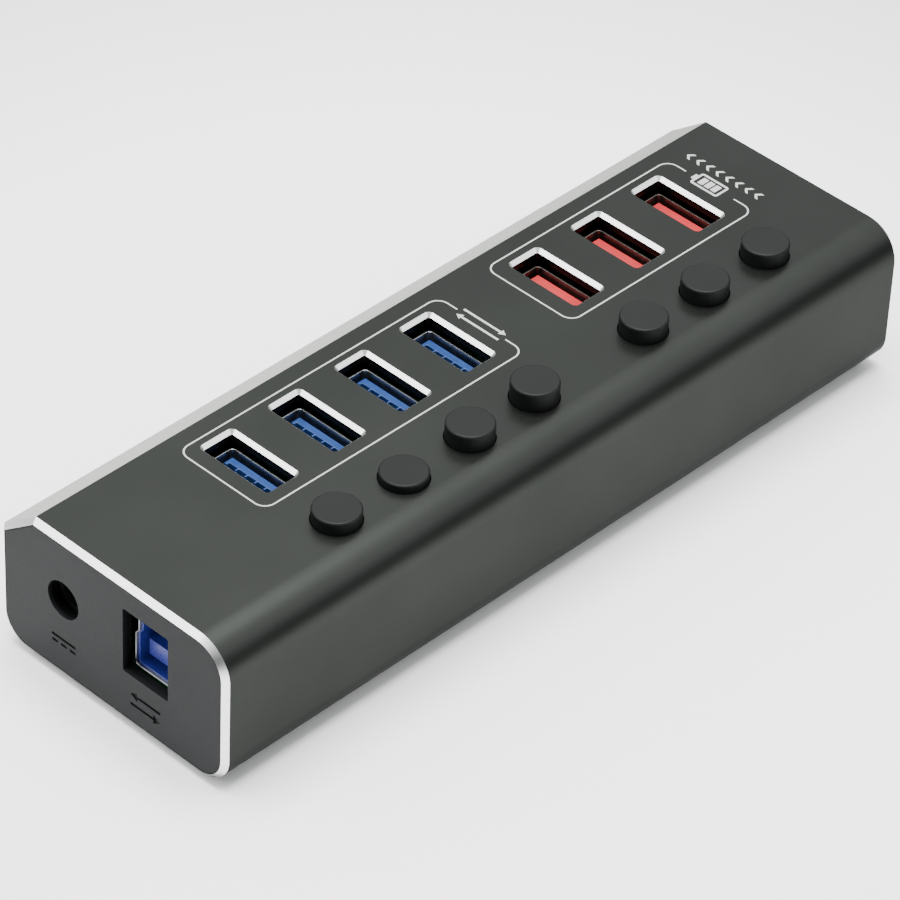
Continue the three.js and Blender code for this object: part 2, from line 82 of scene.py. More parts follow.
def pick(piece, kind, test):
    """In edit mode, selects the VERT, EDGE or FACE elements that pass the test."""
    only(piece)
    bpy.ops.object.mode_set(mode="EDIT")
    bpy.ops.mesh.select_mode(type=kind)
    bpy.ops.mesh.select_all(action="DESELECT")
    mesh = bmesh.from_edit_mesh(piece.data)
    elements = {"VERT": mesh.verts, "EDGE": mesh.edges, "FACE": mesh.faces}[kind]
    for element in [element for element in elements if test(element)]:
        element.select_set(True)
    mesh.select_flush_mode()
    bmesh.update_edit_mesh(piece.data)


def done():
    bpy.ops.object.mode_set(mode="OBJECT")


def round_edges(piece, test, width, segments, **settings):
    """Bevels the edges that pass the test: one segment cuts them flat, more make them round."""
    pick(piece, "EDGE", test)
    bpy.ops.mesh.bevel(offset=width, segments=segments, **settings)
    done()


def extrude(x=0, y=0, z=0):
    """Extrudes what is picked, and moves the new faces by x, y and z."""
    bpy.ops.mesh.extrude_region_move(TRANSFORM_OT_translate={"value": (x, y, z)})


def face_outwards():
    """Turns every face of the piece in edit mode outwards, and leaves edit mode."""
    bpy.ops.mesh.select_all(action="SELECT")
    bpy.ops.mesh.normals_make_consistent(inside=False)
    done()


def middle(element):
    """The middle of an edge or a face."""
    corners = [vertex.co for vertex in element.verts]
    return sum(corners, Vector()) / len(corners)


def near(value, wanted, slack=0.01 * MM):
    return abs(value - wanted) < slack


print("nodes in the frame:", len(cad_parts))

# %% [markdown]
# A primitive is always a start and never a finished piece. It is added at its size and place with
# nothing else selected. Its place, turn and scale then go into its mesh, because the object itself
# has to sit at the origin.

# %% Primitives and counting
def apply_place(piece):
    """Puts an object's place, turn and scale into its mesh."""
    only(piece)
    bpy.ops.object.transform_apply(location=True, rotation=True, scale=True)
    return piece


def primitive(name, operator, **settings):
    """Adds a primitive with nothing else selected, and names it."""
    bpy.ops.object.select_all(action="DESELECT")
    operator(**settings)
    bpy.context.object.name = name
    return bpy.context.object


def block(name, low, high):
    """A box from one corner to the other."""
    low, high = Vector(low), Vector(high)
    cube = bpy.ops.mesh.primitive_cube_add
    return apply_place(primitive(name, cube, size=1, location=(low + high) / 2, scale=high - low))


def triangles(piece):
    return sum(len(face.vertices) - 2 for face in piece.data.polygons)


# %% [markdown]
# ## Helpers for materials
#
# Colours are picked as sRGB hex values, the way a colour picker shows them, and the shader wants
# linear light, so one function converts them. Another adds a node, sets it and links it. Every
# pattern below reads Object coordinates, which are metres on a piece that sits at the origin, so a
# pattern's scale is one over its real size.

# %% Colour, node and pattern-scale helpers
def colour(code):
    """A linear colour from an sRGB hex value."""
    channels = [int(code[i : i + 2], 16) / 255 for i in (1, 3, 5)]
    linear = [c / 12.92 if c <= 0.04045 else ((c + 0.055) / 1.055) ** 2.4 for c in channels]
    return (*linear, 1.0)


def add(tree, kind, settings=None, inputs=None, links=None, stops=()):
    """Adds a node with its settings, fixed inputs, outputs linked into it and colour stops."""
    node = tree.nodes.new(kind)
    for key, value in (settings or {}).items():
        setattr(node, key, value)
    for key, value in (inputs or {}).items():
        node.inputs[key].default_value = value
    for key, output in (links or {}).items():
        tree.links.new(output, node.inputs[key])
    if stops:
        elements = node.color_ramp.elements
        while len(elements) < len(stops):
            elements.new(0.5)
        for element, (position, code) in zip(elements, stops):
            element.position = position
            element.color = colour(code)
    return node


def per(size_mm):
    """The scale of a pattern whose features are this many millimetres across."""
    return 1 / (size_mm * MM)


print("mid grey #808080 in linear light:", round(colour("#808080")[0], 3))

# %% [markdown]
# A pattern is a number that changes over the surface, from 0 to 1. It can drive three things on
# the shader: the colour through a ramp, the roughness through a range, and the relief through a
# bump. The middle of a noise holds most of its values, so ranges are taken from 0.3 to 0.7.

# %% A material, and how a pattern drives it
def drive(tree, shader, pattern, tones=(), gloss=(), relief_mm=0, strength=1.0):
    """Lets a pattern set the colour between tones, the roughness between gloss, or the relief."""
    if tones:
        ramp = add(tree, "ShaderNodeValToRGB", links={"Fac": pattern}, stops=tones)
        tree.links.new(ramp.outputs["Color"], shader.inputs["Base Color"])
    if gloss:
        spread = add(
            tree, "ShaderNodeMapRange",
            inputs={"From Min": 0.3, "From Max": 0.7, "To Min": gloss[0], "To Max": gloss[1]},
            links={"Value": pattern},
        )
        tree.links.new(spread.outputs["Result"], shader.inputs["Roughness"])
    if relief_mm:
        bump = add(
            tree, "ShaderNodeBump", inputs={"Distance": relief_mm * MM, "Strength": strength},
            links={"Height": pattern},
        )
        tree.links.new(bump.outputs["Normal"], shader.inputs["Normal"])


def material(name, build, shader_values):
    """A material of one Principled shader, whose patterns build(tree, shader, place) adds."""
    made = bpy.data.materials.new(name)
    made.use_nodes = True
    tree = made.node_tree
    tree.nodes.clear()
    shader = add(tree, "ShaderNodeBsdfPrincipled", inputs=shader_values)
    add(tree, "ShaderNodeOutputMaterial", links={"Surface": shader.outputs["BSDF"]})
    place = add(tree, "ShaderNodeTexCoord").outputs["Object"]
    build(tree, shader, place)
    print("material", name)
    return made


# %% [markdown]
# ## Anodised aluminium
#
# The case is an extrusion that was blasted with fine glass beads, then anodised and dyed nearly
# black. What looks grey on it is the bright room, reflected dimly. So the shader is a metal with
# a very dark colour: where the room is dark, the case turns black, and a soft dark band appears
# along its big radius by itself. Seen at a slant, light has a longer way through the dye, so the
# reflection at the edge is held back with the specular tint. Blasting leaves dimples of about a
# tenth of a millimetre, so no reflection has an edge. They are too fine to show from here and are
# drawn at 0.16 mm.

# %% Anodised aluminium, bead-blasted and dyed
DIMPLE_MM = 0.16
CLOUD_MM = 22


def anodised_patterns(tree, shader, place):
    dimples, cloud = (
        add(
            tree, "ShaderNodeTexNoise", inputs={"Scale": per(size), "Detail": detail},
            links={"Vector": place},
        ).outputs["Fac"]
        for size, detail in ((DIMPLE_MM, 2.0), (CLOUD_MM, 3.0))
    )
    drive(tree, shader, cloud, tones=[(0.3, "#2f312f"), (0.7, "#333533")])
    drive(tree, shader, dimples, gloss=(0.34, 0.42), relief_mm=0.006)


anodised = material(
    "anodised_aluminium_blasted", anodised_patterns,
    {"Metallic": 1.0, "Specular Tint": colour("#bfbfbf")},
)

# %% [markdown]
# ## Bright-cut aluminium
#
# After anodising, a diamond cutter runs along the long chamfer, the end rims and the socket
# windows. It removes the dyed skin and leaves bare metal, almost a mirror, with hair-fine feed
# marks across it. Bare aluminium is fully metallic and keeps the default index of refraction. The
# marks shade one another when they are seen at a slant, so here too the edge tint is below white.
# A wave texture repeats after 2 pi of phase, so the marks of 0.12 mm are drawn 0.75 mm apart,
# which is coarse enough to show.

# %% Bright-cut aluminium, diamond-milled
FEED_MARK_MM = 0.12
SMEAR_MM = 2
WAVE_PHASE = 20  # how far a wave texture's phase moves in one unit, at scale 1


def bright_patterns(tree, shader, place):
    marks = add(
        tree, "ShaderNodeTexWave", {"wave_type": "BANDS", "bands_direction": "X"},
        {"Scale": per(FEED_MARK_MM) / WAVE_PHASE, "Distortion": 0.6, "Detail": 2.0},
        {"Vector": place},
    )
    drawn_out = add(
        tree, "ShaderNodeMapping", inputs={"Scale": (0.08, 1.0, 1.0)}, links={"Vector": place}
    )
    smear = add(
        tree, "ShaderNodeTexNoise", inputs={"Scale": per(SMEAR_MM), "Detail": 2.0},
        links={"Vector": drawn_out.outputs["Vector"]},
    )
    drive(tree, shader, smear.outputs["Fac"], gloss=(0.24, 0.28))
    drive(tree, shader, marks.outputs["Fac"], relief_mm=0.001, strength=0.5)


bright = material(
    "aluminium_bright_cut", bright_patterns,
    {"Metallic": 1.0, "Base Color": colour("#e9ebe8"), "Specular Tint": colour("#a0a09e")},
)

# %% [markdown]
# ## Moulded plastics
#
# The end caps and the button caps are ABS from spark-eroded moulds, whose grain of about 0.2 mm
# keeps them matt. The socket insulators are a glass-filled polyester, which leaves the mould
# smoother and a little glossy. ABS has an index of refraction of about 1.54, the polyester 1.55.

# %% The plastics
def moulded(base, shade, grain_mm, depth_mm, gloss, drift_mm=9.0):
    """Patterns of a moulded plastic: a fine eroded grain, and a slow drift of tone."""

    def build(tree, shader, place):
        grain, drift = (
            add(
                tree, "ShaderNodeTexNoise", inputs={"Scale": per(size), "Detail": detail},
                links={"Vector": place},
            ).outputs["Fac"]
            for size, detail in ((grain_mm, 3.0), (drift_mm, 2.0))
        )
        drive(tree, shader, drift, tones=[(0.35, shade), (0.65, base)])
        drive(tree, shader, grain, gloss=gloss, relief_mm=depth_mm)

    return build


def plastic(name, patterns, ior, level=0.5):
    """A plastic; a level below 0.5 says how much of the reflection its grain traps."""
    return material(name, moulded(*patterns), {"IOR": ior, "Specular IOR Level": level})


ABS, POLYESTER, ACETAL, SILICONE, INK_BINDER = 1.54, 1.55, 1.48, 1.43, 1.5  # IOR
cap_plastic = plastic(
    "abs_end_cap_grained", ("#18191a", "#151617", 0.22, 0.010, (0.40, 0.50)), ABS, 0.09
)
button_plastic = plastic(
    "abs_button_fine_grain", ("#121313", "#101111", 0.14, 0.005, (0.42, 0.50)), ABS, 0.12
)
blue_plastic = plastic(
    "polyester_blue_moulded", ("#1c3a70", "#183365", 0.35, 0.003, (0.34, 0.42), 4.0), POLYESTER, 0.3
)
deep_blue_plastic = plastic(
    "polyester_deep_blue_moulded", ("#2a3590", "#232d80", 0.35, 0.003, (0.26, 0.34), 4.0), POLYESTER
)
red_plastic = plastic(
    "polyester_red_moulded", ("#a82a2e", "#9d262a", 0.35, 0.003, (0.36, 0.44), 4.0), POLYESTER, 0.3
)
black_plastic = plastic(
    "polyester_black_moulded", ("#1a1b1c", "#161718", 0.30, 0.004, (0.40, 0.50), 4.0),
    POLYESTER, 0.25,
)
white_plastic = plastic(
    "acetal_white_moulded", ("#e6e6e1", "#dddcd6", 0.30, 0.003, (0.35, 0.45), 4.0), ACETAL
)
rubber = plastic(
    "silicone_rubber_matt", ("#1d1e1f", "#18191a", 0.25, 0.015, (0.72, 0.85)), SILICONE
)
mask_ink = plastic(
    "screen_ink_white", ("#a6a8a5", "#a0a29f", 0.20, 0.002, (0.50, 0.60), 3.0), INK_BINDER
)

# %% [markdown]
# ## Plated metals
#
# The socket shells are stamped steel with a thin coat of tin: bright, with a slight cloudiness
# drawn out along the sheet. The charging sockets come from another maker's reel, with a duller
# and browner coat. The contacts are flashed with gold. The springs are drawn wire.

# %% Tin-plated sheet, gold flash and spring wire
def plated(name, base, shade, line_mm, gloss):
    """A plated metal: stretched rolling lines, with small changes of tone and gloss."""

    def build(tree, shader, place):
        stretched = add(
            tree, "ShaderNodeMapping", inputs={"Scale": (1.0, 1.0, 0.25)}, links={"Vector": place}
        )
        lines = add(
            tree, "ShaderNodeTexNoise", inputs={"Scale": per(line_mm), "Detail": 4.0},
            links={"Vector": stretched.outputs["Vector"]},
        )
        drive(tree, shader, lines.outputs["Fac"], tones=[(0.35, shade), (0.65, base)], gloss=gloss)

    return material(name, build, {"Metallic": 1.0})


tinned = plated("steel_tin_plated", "#a6a9a8", "#9ea1a0", 2.5, (0.26, 0.32))
dull_tinned = plated("steel_tin_plated_dull", "#6e6a66", "#64605c", 2.5, (0.34, 0.42))
gold = plated("bronze_gold_flashed", "#e2b866", "#d9ae5c", 1.5, (0.20, 0.26))
wire = plated("spring_steel_drawn", "#a4a7a8", "#989b9c", 0.60, (0.25, 0.34))

# %% [markdown]
# ## Circuit board laminate
#
# Glass-fibre laminate under a green solder mask. Copper tracks lift the mask a little, so the
# green is lighter over them. A brick pattern gives tracks about 1.2 mm apart.

# %% Solder mask over laminate
def board_patterns(tree, shader, place):
    tracks = add(
        tree, "ShaderNodeTexBrick",
        {"offset": 0.5},
        {
            "Color1": colour("#174a2e"), "Color2": colour("#133f27"), "Mortar": colour("#1e5d3a"),
            "Scale": per(10), "Mortar Size": 0.02, "Brick Width": 0.7, "Row Height": 0.12,
        },
        {"Vector": place},
    )
    tree.links.new(tracks.outputs["Color"], shader.inputs["Base Color"])
    drive(tree, shader, tracks.outputs["Fac"], relief_mm=0.03, strength=0.6)


laminate = material("laminate_green_mask", board_patterns, {"Roughness": 0.35, "IOR": 1.5})

# %% [markdown]
# ## The case
#
# On the real hub this is one length of extruded aluminium: a flat top, a large radius on the
# button side, a broad chamfer on the far side, and two more radii below. A person would start
# from a box, slice off the chamfer with Bisect and bevel each other long edge by its own amount,
# which is what section_block does. The end rims are bevelled next, the ends are sunk for the
# caps, and the two ends are bridged into a tube. First come the sizes.

# %% Sizes of the case's section
case_low, case_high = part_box("housing")
TOP_RADIUS = 6.3 * MM
CHAMFER_ACROSS = 7.1 * MM
CHAMFER_DOWN = 5.5 * MM
BOTTOM_RADIUS = 5.5 * MM
WALL = 1.8 * MM
RIM_BEVEL = 0.9 * MM
RIM = 1.0 * MM
CAP_SEAT = 2.7 * MM
ARC_SEGMENTS = 18
print("case in mm:", [round(value / MM, 2) for value in case_high - case_low])

# %% [markdown]
# One function makes a block with this section. The end caps use it again later, drawn in a little
# to fit inside the rim, so that one set of sizes shapes both.

# %% A block with the case's section
chamfer_normal = Vector((0, CHAMFER_DOWN, CHAMFER_ACROSS)).normalized()


def section_block(name, inset, x_low, x_high):
    """A block along X with the case's section, drawn in by inset on every side."""
    low = Vector((x_low, case_low.y + inset, case_low.z + inset))
    high = Vector((x_high, case_high.y - inset, case_high.z - inset))
    piece = block(name, low, high)
    rounds = [
        (low.y, high.z, TOP_RADIUS - inset),
        (low.y, low.z, BOTTOM_RADIUS - inset),
        (high.y, low.z, BOTTOM_RADIUS - inset),
    ]
    for y, z, width in rounds:
        round_edges(
            piece, lambda edge: near(middle(edge).y, y) and near(middle(edge).z, z),
            width, ARC_SEGMENTS, clamp_overlap=False,
        )
    edge_of_top = Vector((0, case_high.y - CHAMFER_ACROSS, case_high.z)) - chamfer_normal * inset
    pick(piece, "FACE", lambda face: True)
    bpy.ops.mesh.bisect(
        plane_co=edge_of_top, plane_no=chamfer_normal, clear_outer=True, use_fill=True
    )
    done()
    return piece


case = section_block("case", 0, case_low.x, case_high.x)
print("case block:", triangles(case), "triangles")

# %% [markdown]
# The rims come next, while the block still has whole ends: one plain bevel all round each end.
# An inset and an extrusion inwards make the seat of a cap, a second inset gives the wall, and the
# two holes are bridged through the block.

# %% Bevel the rims, sink the cap seats and make the block a tube
def at_end(element, x):
    return all(near(vertex.co.x, x) for vertex in element.verts)


for end in (case_low.x, case_high.x):
    round_edges(case, lambda edge: at_end(edge, end), RIM_BEVEL, 1, clamp_overlap=False)

for end, inward in ((case_low.x, 1), (case_high.x, -1)):
    pick(case, "FACE", lambda face: at_end(face, end))
    bpy.ops.mesh.inset(thickness=RIM - RIM_BEVEL)
    extrude(x=inward * CAP_SEAT)
    bpy.ops.mesh.inset(thickness=WALL - RIM)
    bpy.ops.mesh.delete(type="FACE")
    done()

pick(case, "EDGE", lambda edge: edge.is_boundary)
bpy.ops.mesh.bridge_edge_loops()
face_outwards()
print("case tube:", triangles(case), "triangles")

# %% [markdown]
# Inside, two pairs of ribs hold the board by its edges. They are plain bars joined to the walls.

# %% Board rails inside the case
def apply_modifier(piece, kind, **settings):
    """Adds a modifier, sets it and applies it."""
    only(piece)
    modifier = piece.modifiers.new(kind.lower(), kind)
    for key, value in settings.items():
        setattr(modifier, key, value)
    bpy.ops.object.modifier_apply(modifier=modifier.name)
    return piece


def combine(piece, tool, how):
    """Cuts the tool out of the piece, or joins it on, and removes the tool."""
    apply_modifier(piece, "BOOLEAN", operation=how, object=tool, solver="EXACT")
    bpy.data.objects.remove(tool)
    return piece


board_low, board_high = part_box("circuit_board")
RAIL_DEPTH = 1.5 * MM
RAIL_THICKNESS = 1.2 * MM
RAIL_GAP = 0.3 * MM
rail_end = case_high.x - CAP_SEAT - RAIL_GAP
rail_bars = []
for side in (-1, 1):
    wall_face = case_high.y - WALL
    y_pair = sorted((side * (wall_face - RAIL_DEPTH), side * (wall_face + WALL / 2)))
    for z in (board_low.z - RAIL_GAP - RAIL_THICKNESS, board_high.z + RAIL_GAP):
        far_corner = (rail_end, y_pair[1], z + RAIL_THICKNESS)
        rail_bars.append(block("rail", (-rail_end, y_pair[0], z), far_corner))
for bar in rail_bars:
    combine(case, bar, "UNION")
print("rails joined:", len(rail_bars))

# %% [markdown]
# The seven socket windows are milled with one tool: a straight slot with rounded corners, and a
# flare of 45 degrees at its mouth. The cutter is modelled upside down, from its wide top: an inset
# with the same depth as its thickness gives the flare, and an extrusion gives the slot.

# %% The window cutter and the button hole cutter
def cylinder(name, centre, radius, depth, sides=64, turn=(0, 0, 0)):
    """A cylinder round its centre; turn lays its axis over from Z."""
    return apply_place(primitive(
        name, bpy.ops.mesh.primitive_cylinder_add,
        vertices=sides, radius=radius, depth=depth, location=centre, rotation=turn,
    ))


def join(pieces, name):
    """One object out of several, each keeping its own shell."""
    only(pieces[0])
    for piece in pieces:
        piece.select_set(True)
    bpy.ops.object.join()
    pieces[0].name = name
    return pieces[0]


top_z = case_high.z
WINDOW = (5.86 * MM, 13.76 * MM)
WINDOW_BEVEL = 0.62 * MM
WINDOW_RADIUS = 0.35 * MM
REACH = 1.0 * MM
BUTTON_HOLE_RADIUS = 4.08 * MM


def window_cutter(x, y):
    half_x = WINDOW[0] / 2 + WINDOW_BEVEL
    half_y = WINDOW[1] / 2 + WINDOW_BEVEL
    far_corner = (x + half_x, y + half_y, top_z + REACH)
    cutter = block("cutter", (x - half_x, y - half_y, top_z), far_corner)
    half_way, radius = top_z + REACH / 2, WINDOW_RADIUS + WINDOW_BEVEL
    round_edges(cutter, lambda edge: near(middle(edge).z, half_way), radius, 8)
    pick(cutter, "FACE", lambda face: near(middle(face).z, top_z))
    bpy.ops.mesh.inset(thickness=WINDOW_BEVEL, depth=WINDOW_BEVEL)
    extrude(z=-(WALL + REACH))
    done()
    return cutter


def node_middle(node):
    low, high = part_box(node)
    return (low + high) / 2


PORTS = range(1, 8)
DATA_PORTS = range(1, 5)
port_places = [node_middle(f"usb_a_shell_{number}") for number in PORTS]
button_places = [node_middle(f"button_cap_{number}") for number in PORTS]
cutters = [window_cutter(place.x, place.y) for place in port_places]
cutters += [
    cylinder(
        "cutter", (place.x, place.y, top_z - WALL / 2), BUTTON_HOLE_RADIUS, WALL + 2 * REACH
    )
    for place in button_places
]
combine(case, join(cutters, "all_cutters"), "DIFFERENCE")
print("windows and holes cut:", len(cutters))

# %% [markdown]
# Which faces are bright-cut can be read from their direction: the long chamfer looks up and
# back, the rim bevels look half along X, and the flares lie just under the top face.

# %% Give the cut faces the bright metal
def smooth(piece, angle=30):
    only(piece)
    bpy.ops.object.shade_smooth_by_angle(angle=math.radians(angle))
    apply_modifier(piece, "WEIGHTED_NORMAL", keep_sharp=True)
    return piece


def coat(piece, finish):
    """Gives the whole piece one material."""
    piece.data.materials.clear()
    piece.data.materials.append(finish)


def finish_piece(piece, body, *nodes, slot=None):
    """The piece rides on its body and stands for its CAD nodes, which it hides; slot is not used.
    """
    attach(piece, body)
    if nodes:
        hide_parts(*nodes)
    return piece


NEAR_WINDOW = (4 * MM, 8 * MM)


def is_bright_cut(face):
    centre, normal = face.center, face.normal
    at_outside = centre.y > case_high.y - CHAMFER_ACROSS
    on_chamfer = normal.dot(chamfer_normal) > 0.999 and at_outside
    rim_depth = min(centre.x - case_low.x, case_high.x - centre.x)
    on_rim = rim_depth < RIM_BEVEL and 0.3 < abs(normal.x) < 0.95
    on_flare = top_z - WINDOW_BEVEL < centre.z < top_z and near(normal.z, math.sqrt(0.5), 0.05)
    in_window = any(
        abs(centre.x - place.x) < NEAR_WINDOW[0] and abs(centre.y - place.y) < NEAR_WINDOW[1]
        for place in port_places
    )
    return on_chamfer or on_rim or (on_flare and in_window)


coat(case, anodised)
case.data.materials.append(bright)
for face in case.data.polygons:
    face.material_index = int(is_bright_cut(face))
smooth(case, 20)
finish_piece(case, "base", "housing", slot="anodised_aluminium")
bright_faces = sum(face.material_index for face in case.data.polygons)
print("case:", triangles(case), "triangles,", bright_faces, "bright faces")

# %% [markdown]
# ## End caps
#
# Each end is closed by a moulded plate that sits in the rim with a hair of a gap. It has the same
# section as the case, drawn in, so section_block makes it too. Snap tabs reach into the case.

# %% Plates with tabs
CAP_THICKNESS = 2.4 * MM
CAP_GAP = 0.06 * MM
TAB = (5.0 * MM, 6.0 * MM, 1.2 * MM)
TAB_ROWS = (-10 * MM, 6 * MM)
TAB_CLEARANCE = 0.3 * MM


def end_plate(name, outer, inward):
    """A plate with its outer face at x = outer, whose tabs reach inward (1 or -1) along X."""
    inner = outer + inward * CAP_THICKNESS
    plate = section_block(name, RIM + CAP_GAP, min(outer, inner), max(outer, inner))
    tab_x = sorted((inner - inward * TAB_CLEARANCE, inner + inward * TAB[0]))
    floor_z = case_low.z + WALL + TAB_CLEARANCE
    ceiling_z = case_high.z - WALL - TAB_CLEARANCE - TAB[2]
    for y in TAB_ROWS:
        for z in (floor_z, ceiling_z):
            far_corner = (tab_x[1], y + TAB[1] / 2, z + TAB[2])
            tab = block("tab", (tab_x[0], y - TAB[1] / 2, z), far_corner)
            combine(plate, tab, "UNION")
    return plate


front_plate = end_plate("front_plate", case_low.x, 1)
rear_plate = end_plate("rear_plate", case_high.x, -1)
print("plates:", triangles(front_plate), triangles(rear_plate), "triangles")

# %% [markdown]
# The front plate has a square window and a round hole. Round both it is thinned from behind, so
# that only a thin lip shows and the dark inside begins right behind it. Each opening is cut twice:
# once at its true size, and once wider from behind.

# %% Openings in the front plate
def soften(piece, width, segments=2, angle=35):
    """Rounds every edge sharper than the angle, then shades what is left smooth."""
    apply_modifier(
        piece, "BEVEL", width=width, segments=segments, limit_method="ANGLE",
        angle_limit=math.radians(angle), use_clamp_overlap=True, harden_normals=False,
    )
    return smooth(piece)


OPENING_LIP = 0.8 * MM
OPENING_RELIEF = 0.7 * MM
UPSTREAM_WINDOW = (9.6 * MM, 12.0 * MM)
UPSTREAM_WINDOW_RADIUS = 0.3 * MM
JACK_HOLE_RADIUS = 3.32 * MM
LAID_ALONG_X = (0, math.pi / 2, 0)

upstream_low, upstream_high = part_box("usb_b_shell")
upstream_middle = (upstream_low + upstream_high) / 2
jack_middle = node_middle("dc_jack_pin")


def window_tool(grow, x_low, x_high):
    half_y, half_z = (size / 2 + grow for size in UPSTREAM_WINDOW)
    y, z = upstream_middle.y, upstream_middle.z
    tool = block("window", (x_low, y - half_y, z - half_z), (x_high, y + half_y, z + half_z))
    middle_x = (x_low + x_high) / 2
    round_edges(tool, lambda edge: near(middle(edge).x, middle_x), UPSTREAM_WINDOW_RADIUS, 3)
    return tool


def hole_tool(grow, x_low, x_high):
    centre = ((x_low + x_high) / 2, jack_middle.y, jack_middle.z)
    return cylinder("hole", centre, JACK_HOLE_RADIUS + grow, x_high - x_low, 64, LAID_ALONG_X)


plate_back = case_low.x + CAP_THICKNESS
for tool in (window_tool, hole_tool):
    combine(front_plate, tool(0, case_low.x - REACH, plate_back + REACH), "DIFFERENCE")
    wider = tool(OPENING_RELIEF, case_low.x + OPENING_LIP, plate_back + REACH)
    combine(front_plate, wider, "DIFFERENCE")
for plate in (front_plate, rear_plate):
    soften(plate, width=0.08 * MM)
print("front plate with openings:", triangles(front_plate), "triangles")

# %% [markdown]
# Below each opening a small symbol is sunk into the plate: direct current for the power jack, and
# data in both directions for the upstream socket. Bars are blocks. An arrow head is a cylinder
# with three sides.

# %% Sunk symbols
SYMBOL_DEPTH = 0.25 * MM
SYMBOL_STROKE = 0.5 * MM
BELOW_JACK = 9.0 * MM
BELOW_SOCKET = 10.5 * MM
LONG_BAR = 5.2 * MM
SHORT_BAR = 1.3 * MM
BARS_APART = 1.1 * MM
SHORT_BAR_PITCH = 1.95 * MM
SUNK_ARROW = (6.4 * MM, 1.7 * MM)  # length and width
SUNK_ARROWS_APART = 1.9 * MM


def sunk_bar(y, z, length, width):
    return block(
        "bar",
        (case_low.x - REACH, y - length / 2, z - width / 2),
        (case_low.x + SYMBOL_DEPTH, y + length / 2, z + width / 2),
    )


def sunk_arrow(y, z, length, width, way):
    """An arrow along Y that points towards way (1 or -1)."""
    radius = width / math.sqrt(3)
    head_length = 1.5 * radius
    shaft = sunk_bar(y - way * head_length / 2, z, length - head_length, width * 0.3)
    head = cylinder(
        "head",
        (case_low.x + (SYMBOL_DEPTH - REACH) / 2, y + way * (length / 2 - radius), z),
        radius, SYMBOL_DEPTH + REACH, 3, (0, math.pi / 2, 0 if way > 0 else math.pi),
    )
    return combine(shaft, head, "UNION")


current_z = jack_middle.z - BELOW_JACK
data_z = upstream_middle.z - BELOW_SOCKET
symbols = [sunk_bar(jack_middle.y, current_z + BARS_APART, LONG_BAR, SYMBOL_STROKE)]
for step in (-1, 0, 1):
    bar_y = jack_middle.y + step * SHORT_BAR_PITCH
    symbols.append(sunk_bar(bar_y, current_z, SHORT_BAR, SYMBOL_STROKE))
for way in (1, -1):
    arrow_z = data_z + way * SUNK_ARROWS_APART / 2
    symbols.append(sunk_arrow(upstream_middle.y, arrow_z, *SUNK_ARROW, way))
combine(front_plate, join(symbols, "symbols"), "DIFFERENCE")
smooth(front_plate, 30)
for plate, node in ((front_plate, "front_end_cap"), (rear_plate, "rear_end_cap")):
    coat(plate, cap_plastic)
    finish_piece(plate, "base", node, slot="end_cap_plastic")
print("symbols sunk:", len(symbols))

# %% [markdown]
# ## Socket shells
#
# A standard socket shell is a strip of thin steel folded into a rectangular tube. Each long side
# has two spring leaves that are cut free and pressed inwards to hold the plug. The tube is a box
# whose corners are bevelled and whose ends are opened; Solidify then gives the sheet its gauge.

# %% One socket shell
SHEET = 0.3 * MM
SHELL_RADIUS = 0.9 * MM
LEAF_WIDTH = 2.2 * MM
LEAF_LENGTH = 5.0 * MM
LEAF_SPREAD = 2.9 * MM
LEAF_PRESS = 0.30 * MM
LEAF_TOP = 3.6 * MM
LEAF_GAP = 0.06 * MM
LEAF_GAUGE = 0.2 * MM

shell_low, shell_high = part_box("usb_a_shell_1")
shell = block("shell", shell_low, shell_high)
shell_middle = (shell_low + shell_high) / 2
round_edges(shell, lambda edge: near(middle(edge).z, shell_middle.z), SHELL_RADIUS, 6)
pick(shell, "FACE", lambda face: abs(face.normal.z) > 0.9)
bpy.ops.mesh.delete(type="FACE")
done()
apply_modifier(shell, "SOLIDIFY", thickness=SHEET, offset=-1.0, use_even_offset=True)
soften(shell, width=0.07 * MM, angle=60)
print("shell:", triangles(shell), "triangles")

# %% [markdown]
# A leaf is a thin bar, subdivided along its length. Moving its middle with proportional editing
# bows it, with a smooth falloff towards both ends.

# %% Its spring leaves
def pull(shift, reach):
    """Moves what is picked, and draws its neighbours within reach along with a smooth falloff."""
    bpy.ops.transform.translate(
        value=shift, use_proportional_edit=True,
        proportional_edit_falloff="SMOOTH", proportional_size=reach,
    )
    done()


def spring_leaf(y, side):
    """A leaf on the long wall at side (-1 or 1 along X), pressed inwards in its middle."""
    inner = shell_low.x + SHEET if side < 0 else shell_high.x - SHEET
    x_pair = sorted((inner - side * LEAF_GAP, inner - side * (LEAF_GAP + LEAF_GAUGE)))
    top = shell_high.z - LEAF_TOP
    far_corner = (x_pair[1], y + LEAF_WIDTH / 2, top)
    leaf = block("leaf", (x_pair[0], y - LEAF_WIDTH / 2, top - LEAF_LENGTH), far_corner)
    half_way = top - LEAF_LENGTH / 2
    pick(leaf, "EDGE", lambda edge: near(middle(edge).z, half_way))
    bpy.ops.mesh.subdivide(number_cuts=7)
    done()
    pick(leaf, "VERT", lambda vertex: near(vertex.co.z, half_way, LEAF_LENGTH / 15))
    pull((-side * LEAF_PRESS, 0, 0), LEAF_LENGTH / 2)
    return soften(leaf, width=0.04 * MM, segments=1, angle=60)


leaves = [
    spring_leaf(shell_middle.y + shift, side)
    for side in (-1, 1)
    for shift in (-LEAF_SPREAD, LEAF_SPREAD)
]
shell = join([shell, *leaves], "port_shell_1")
print("shell with leaves:", triangles(shell), "triangles")

# %% [markdown]
# ## Tongues and contacts
#
# The tongue is a moulded bar that stands in the mouth, nearer to one long wall. Its contact side
# has a row of slots, and a gold-flashed contact lies in each. The fast data sockets have five,
# which run out through the tip and leave only thin walls between them, like the rungs of a
# ladder. The charging sockets have four, and their tip is left whole.

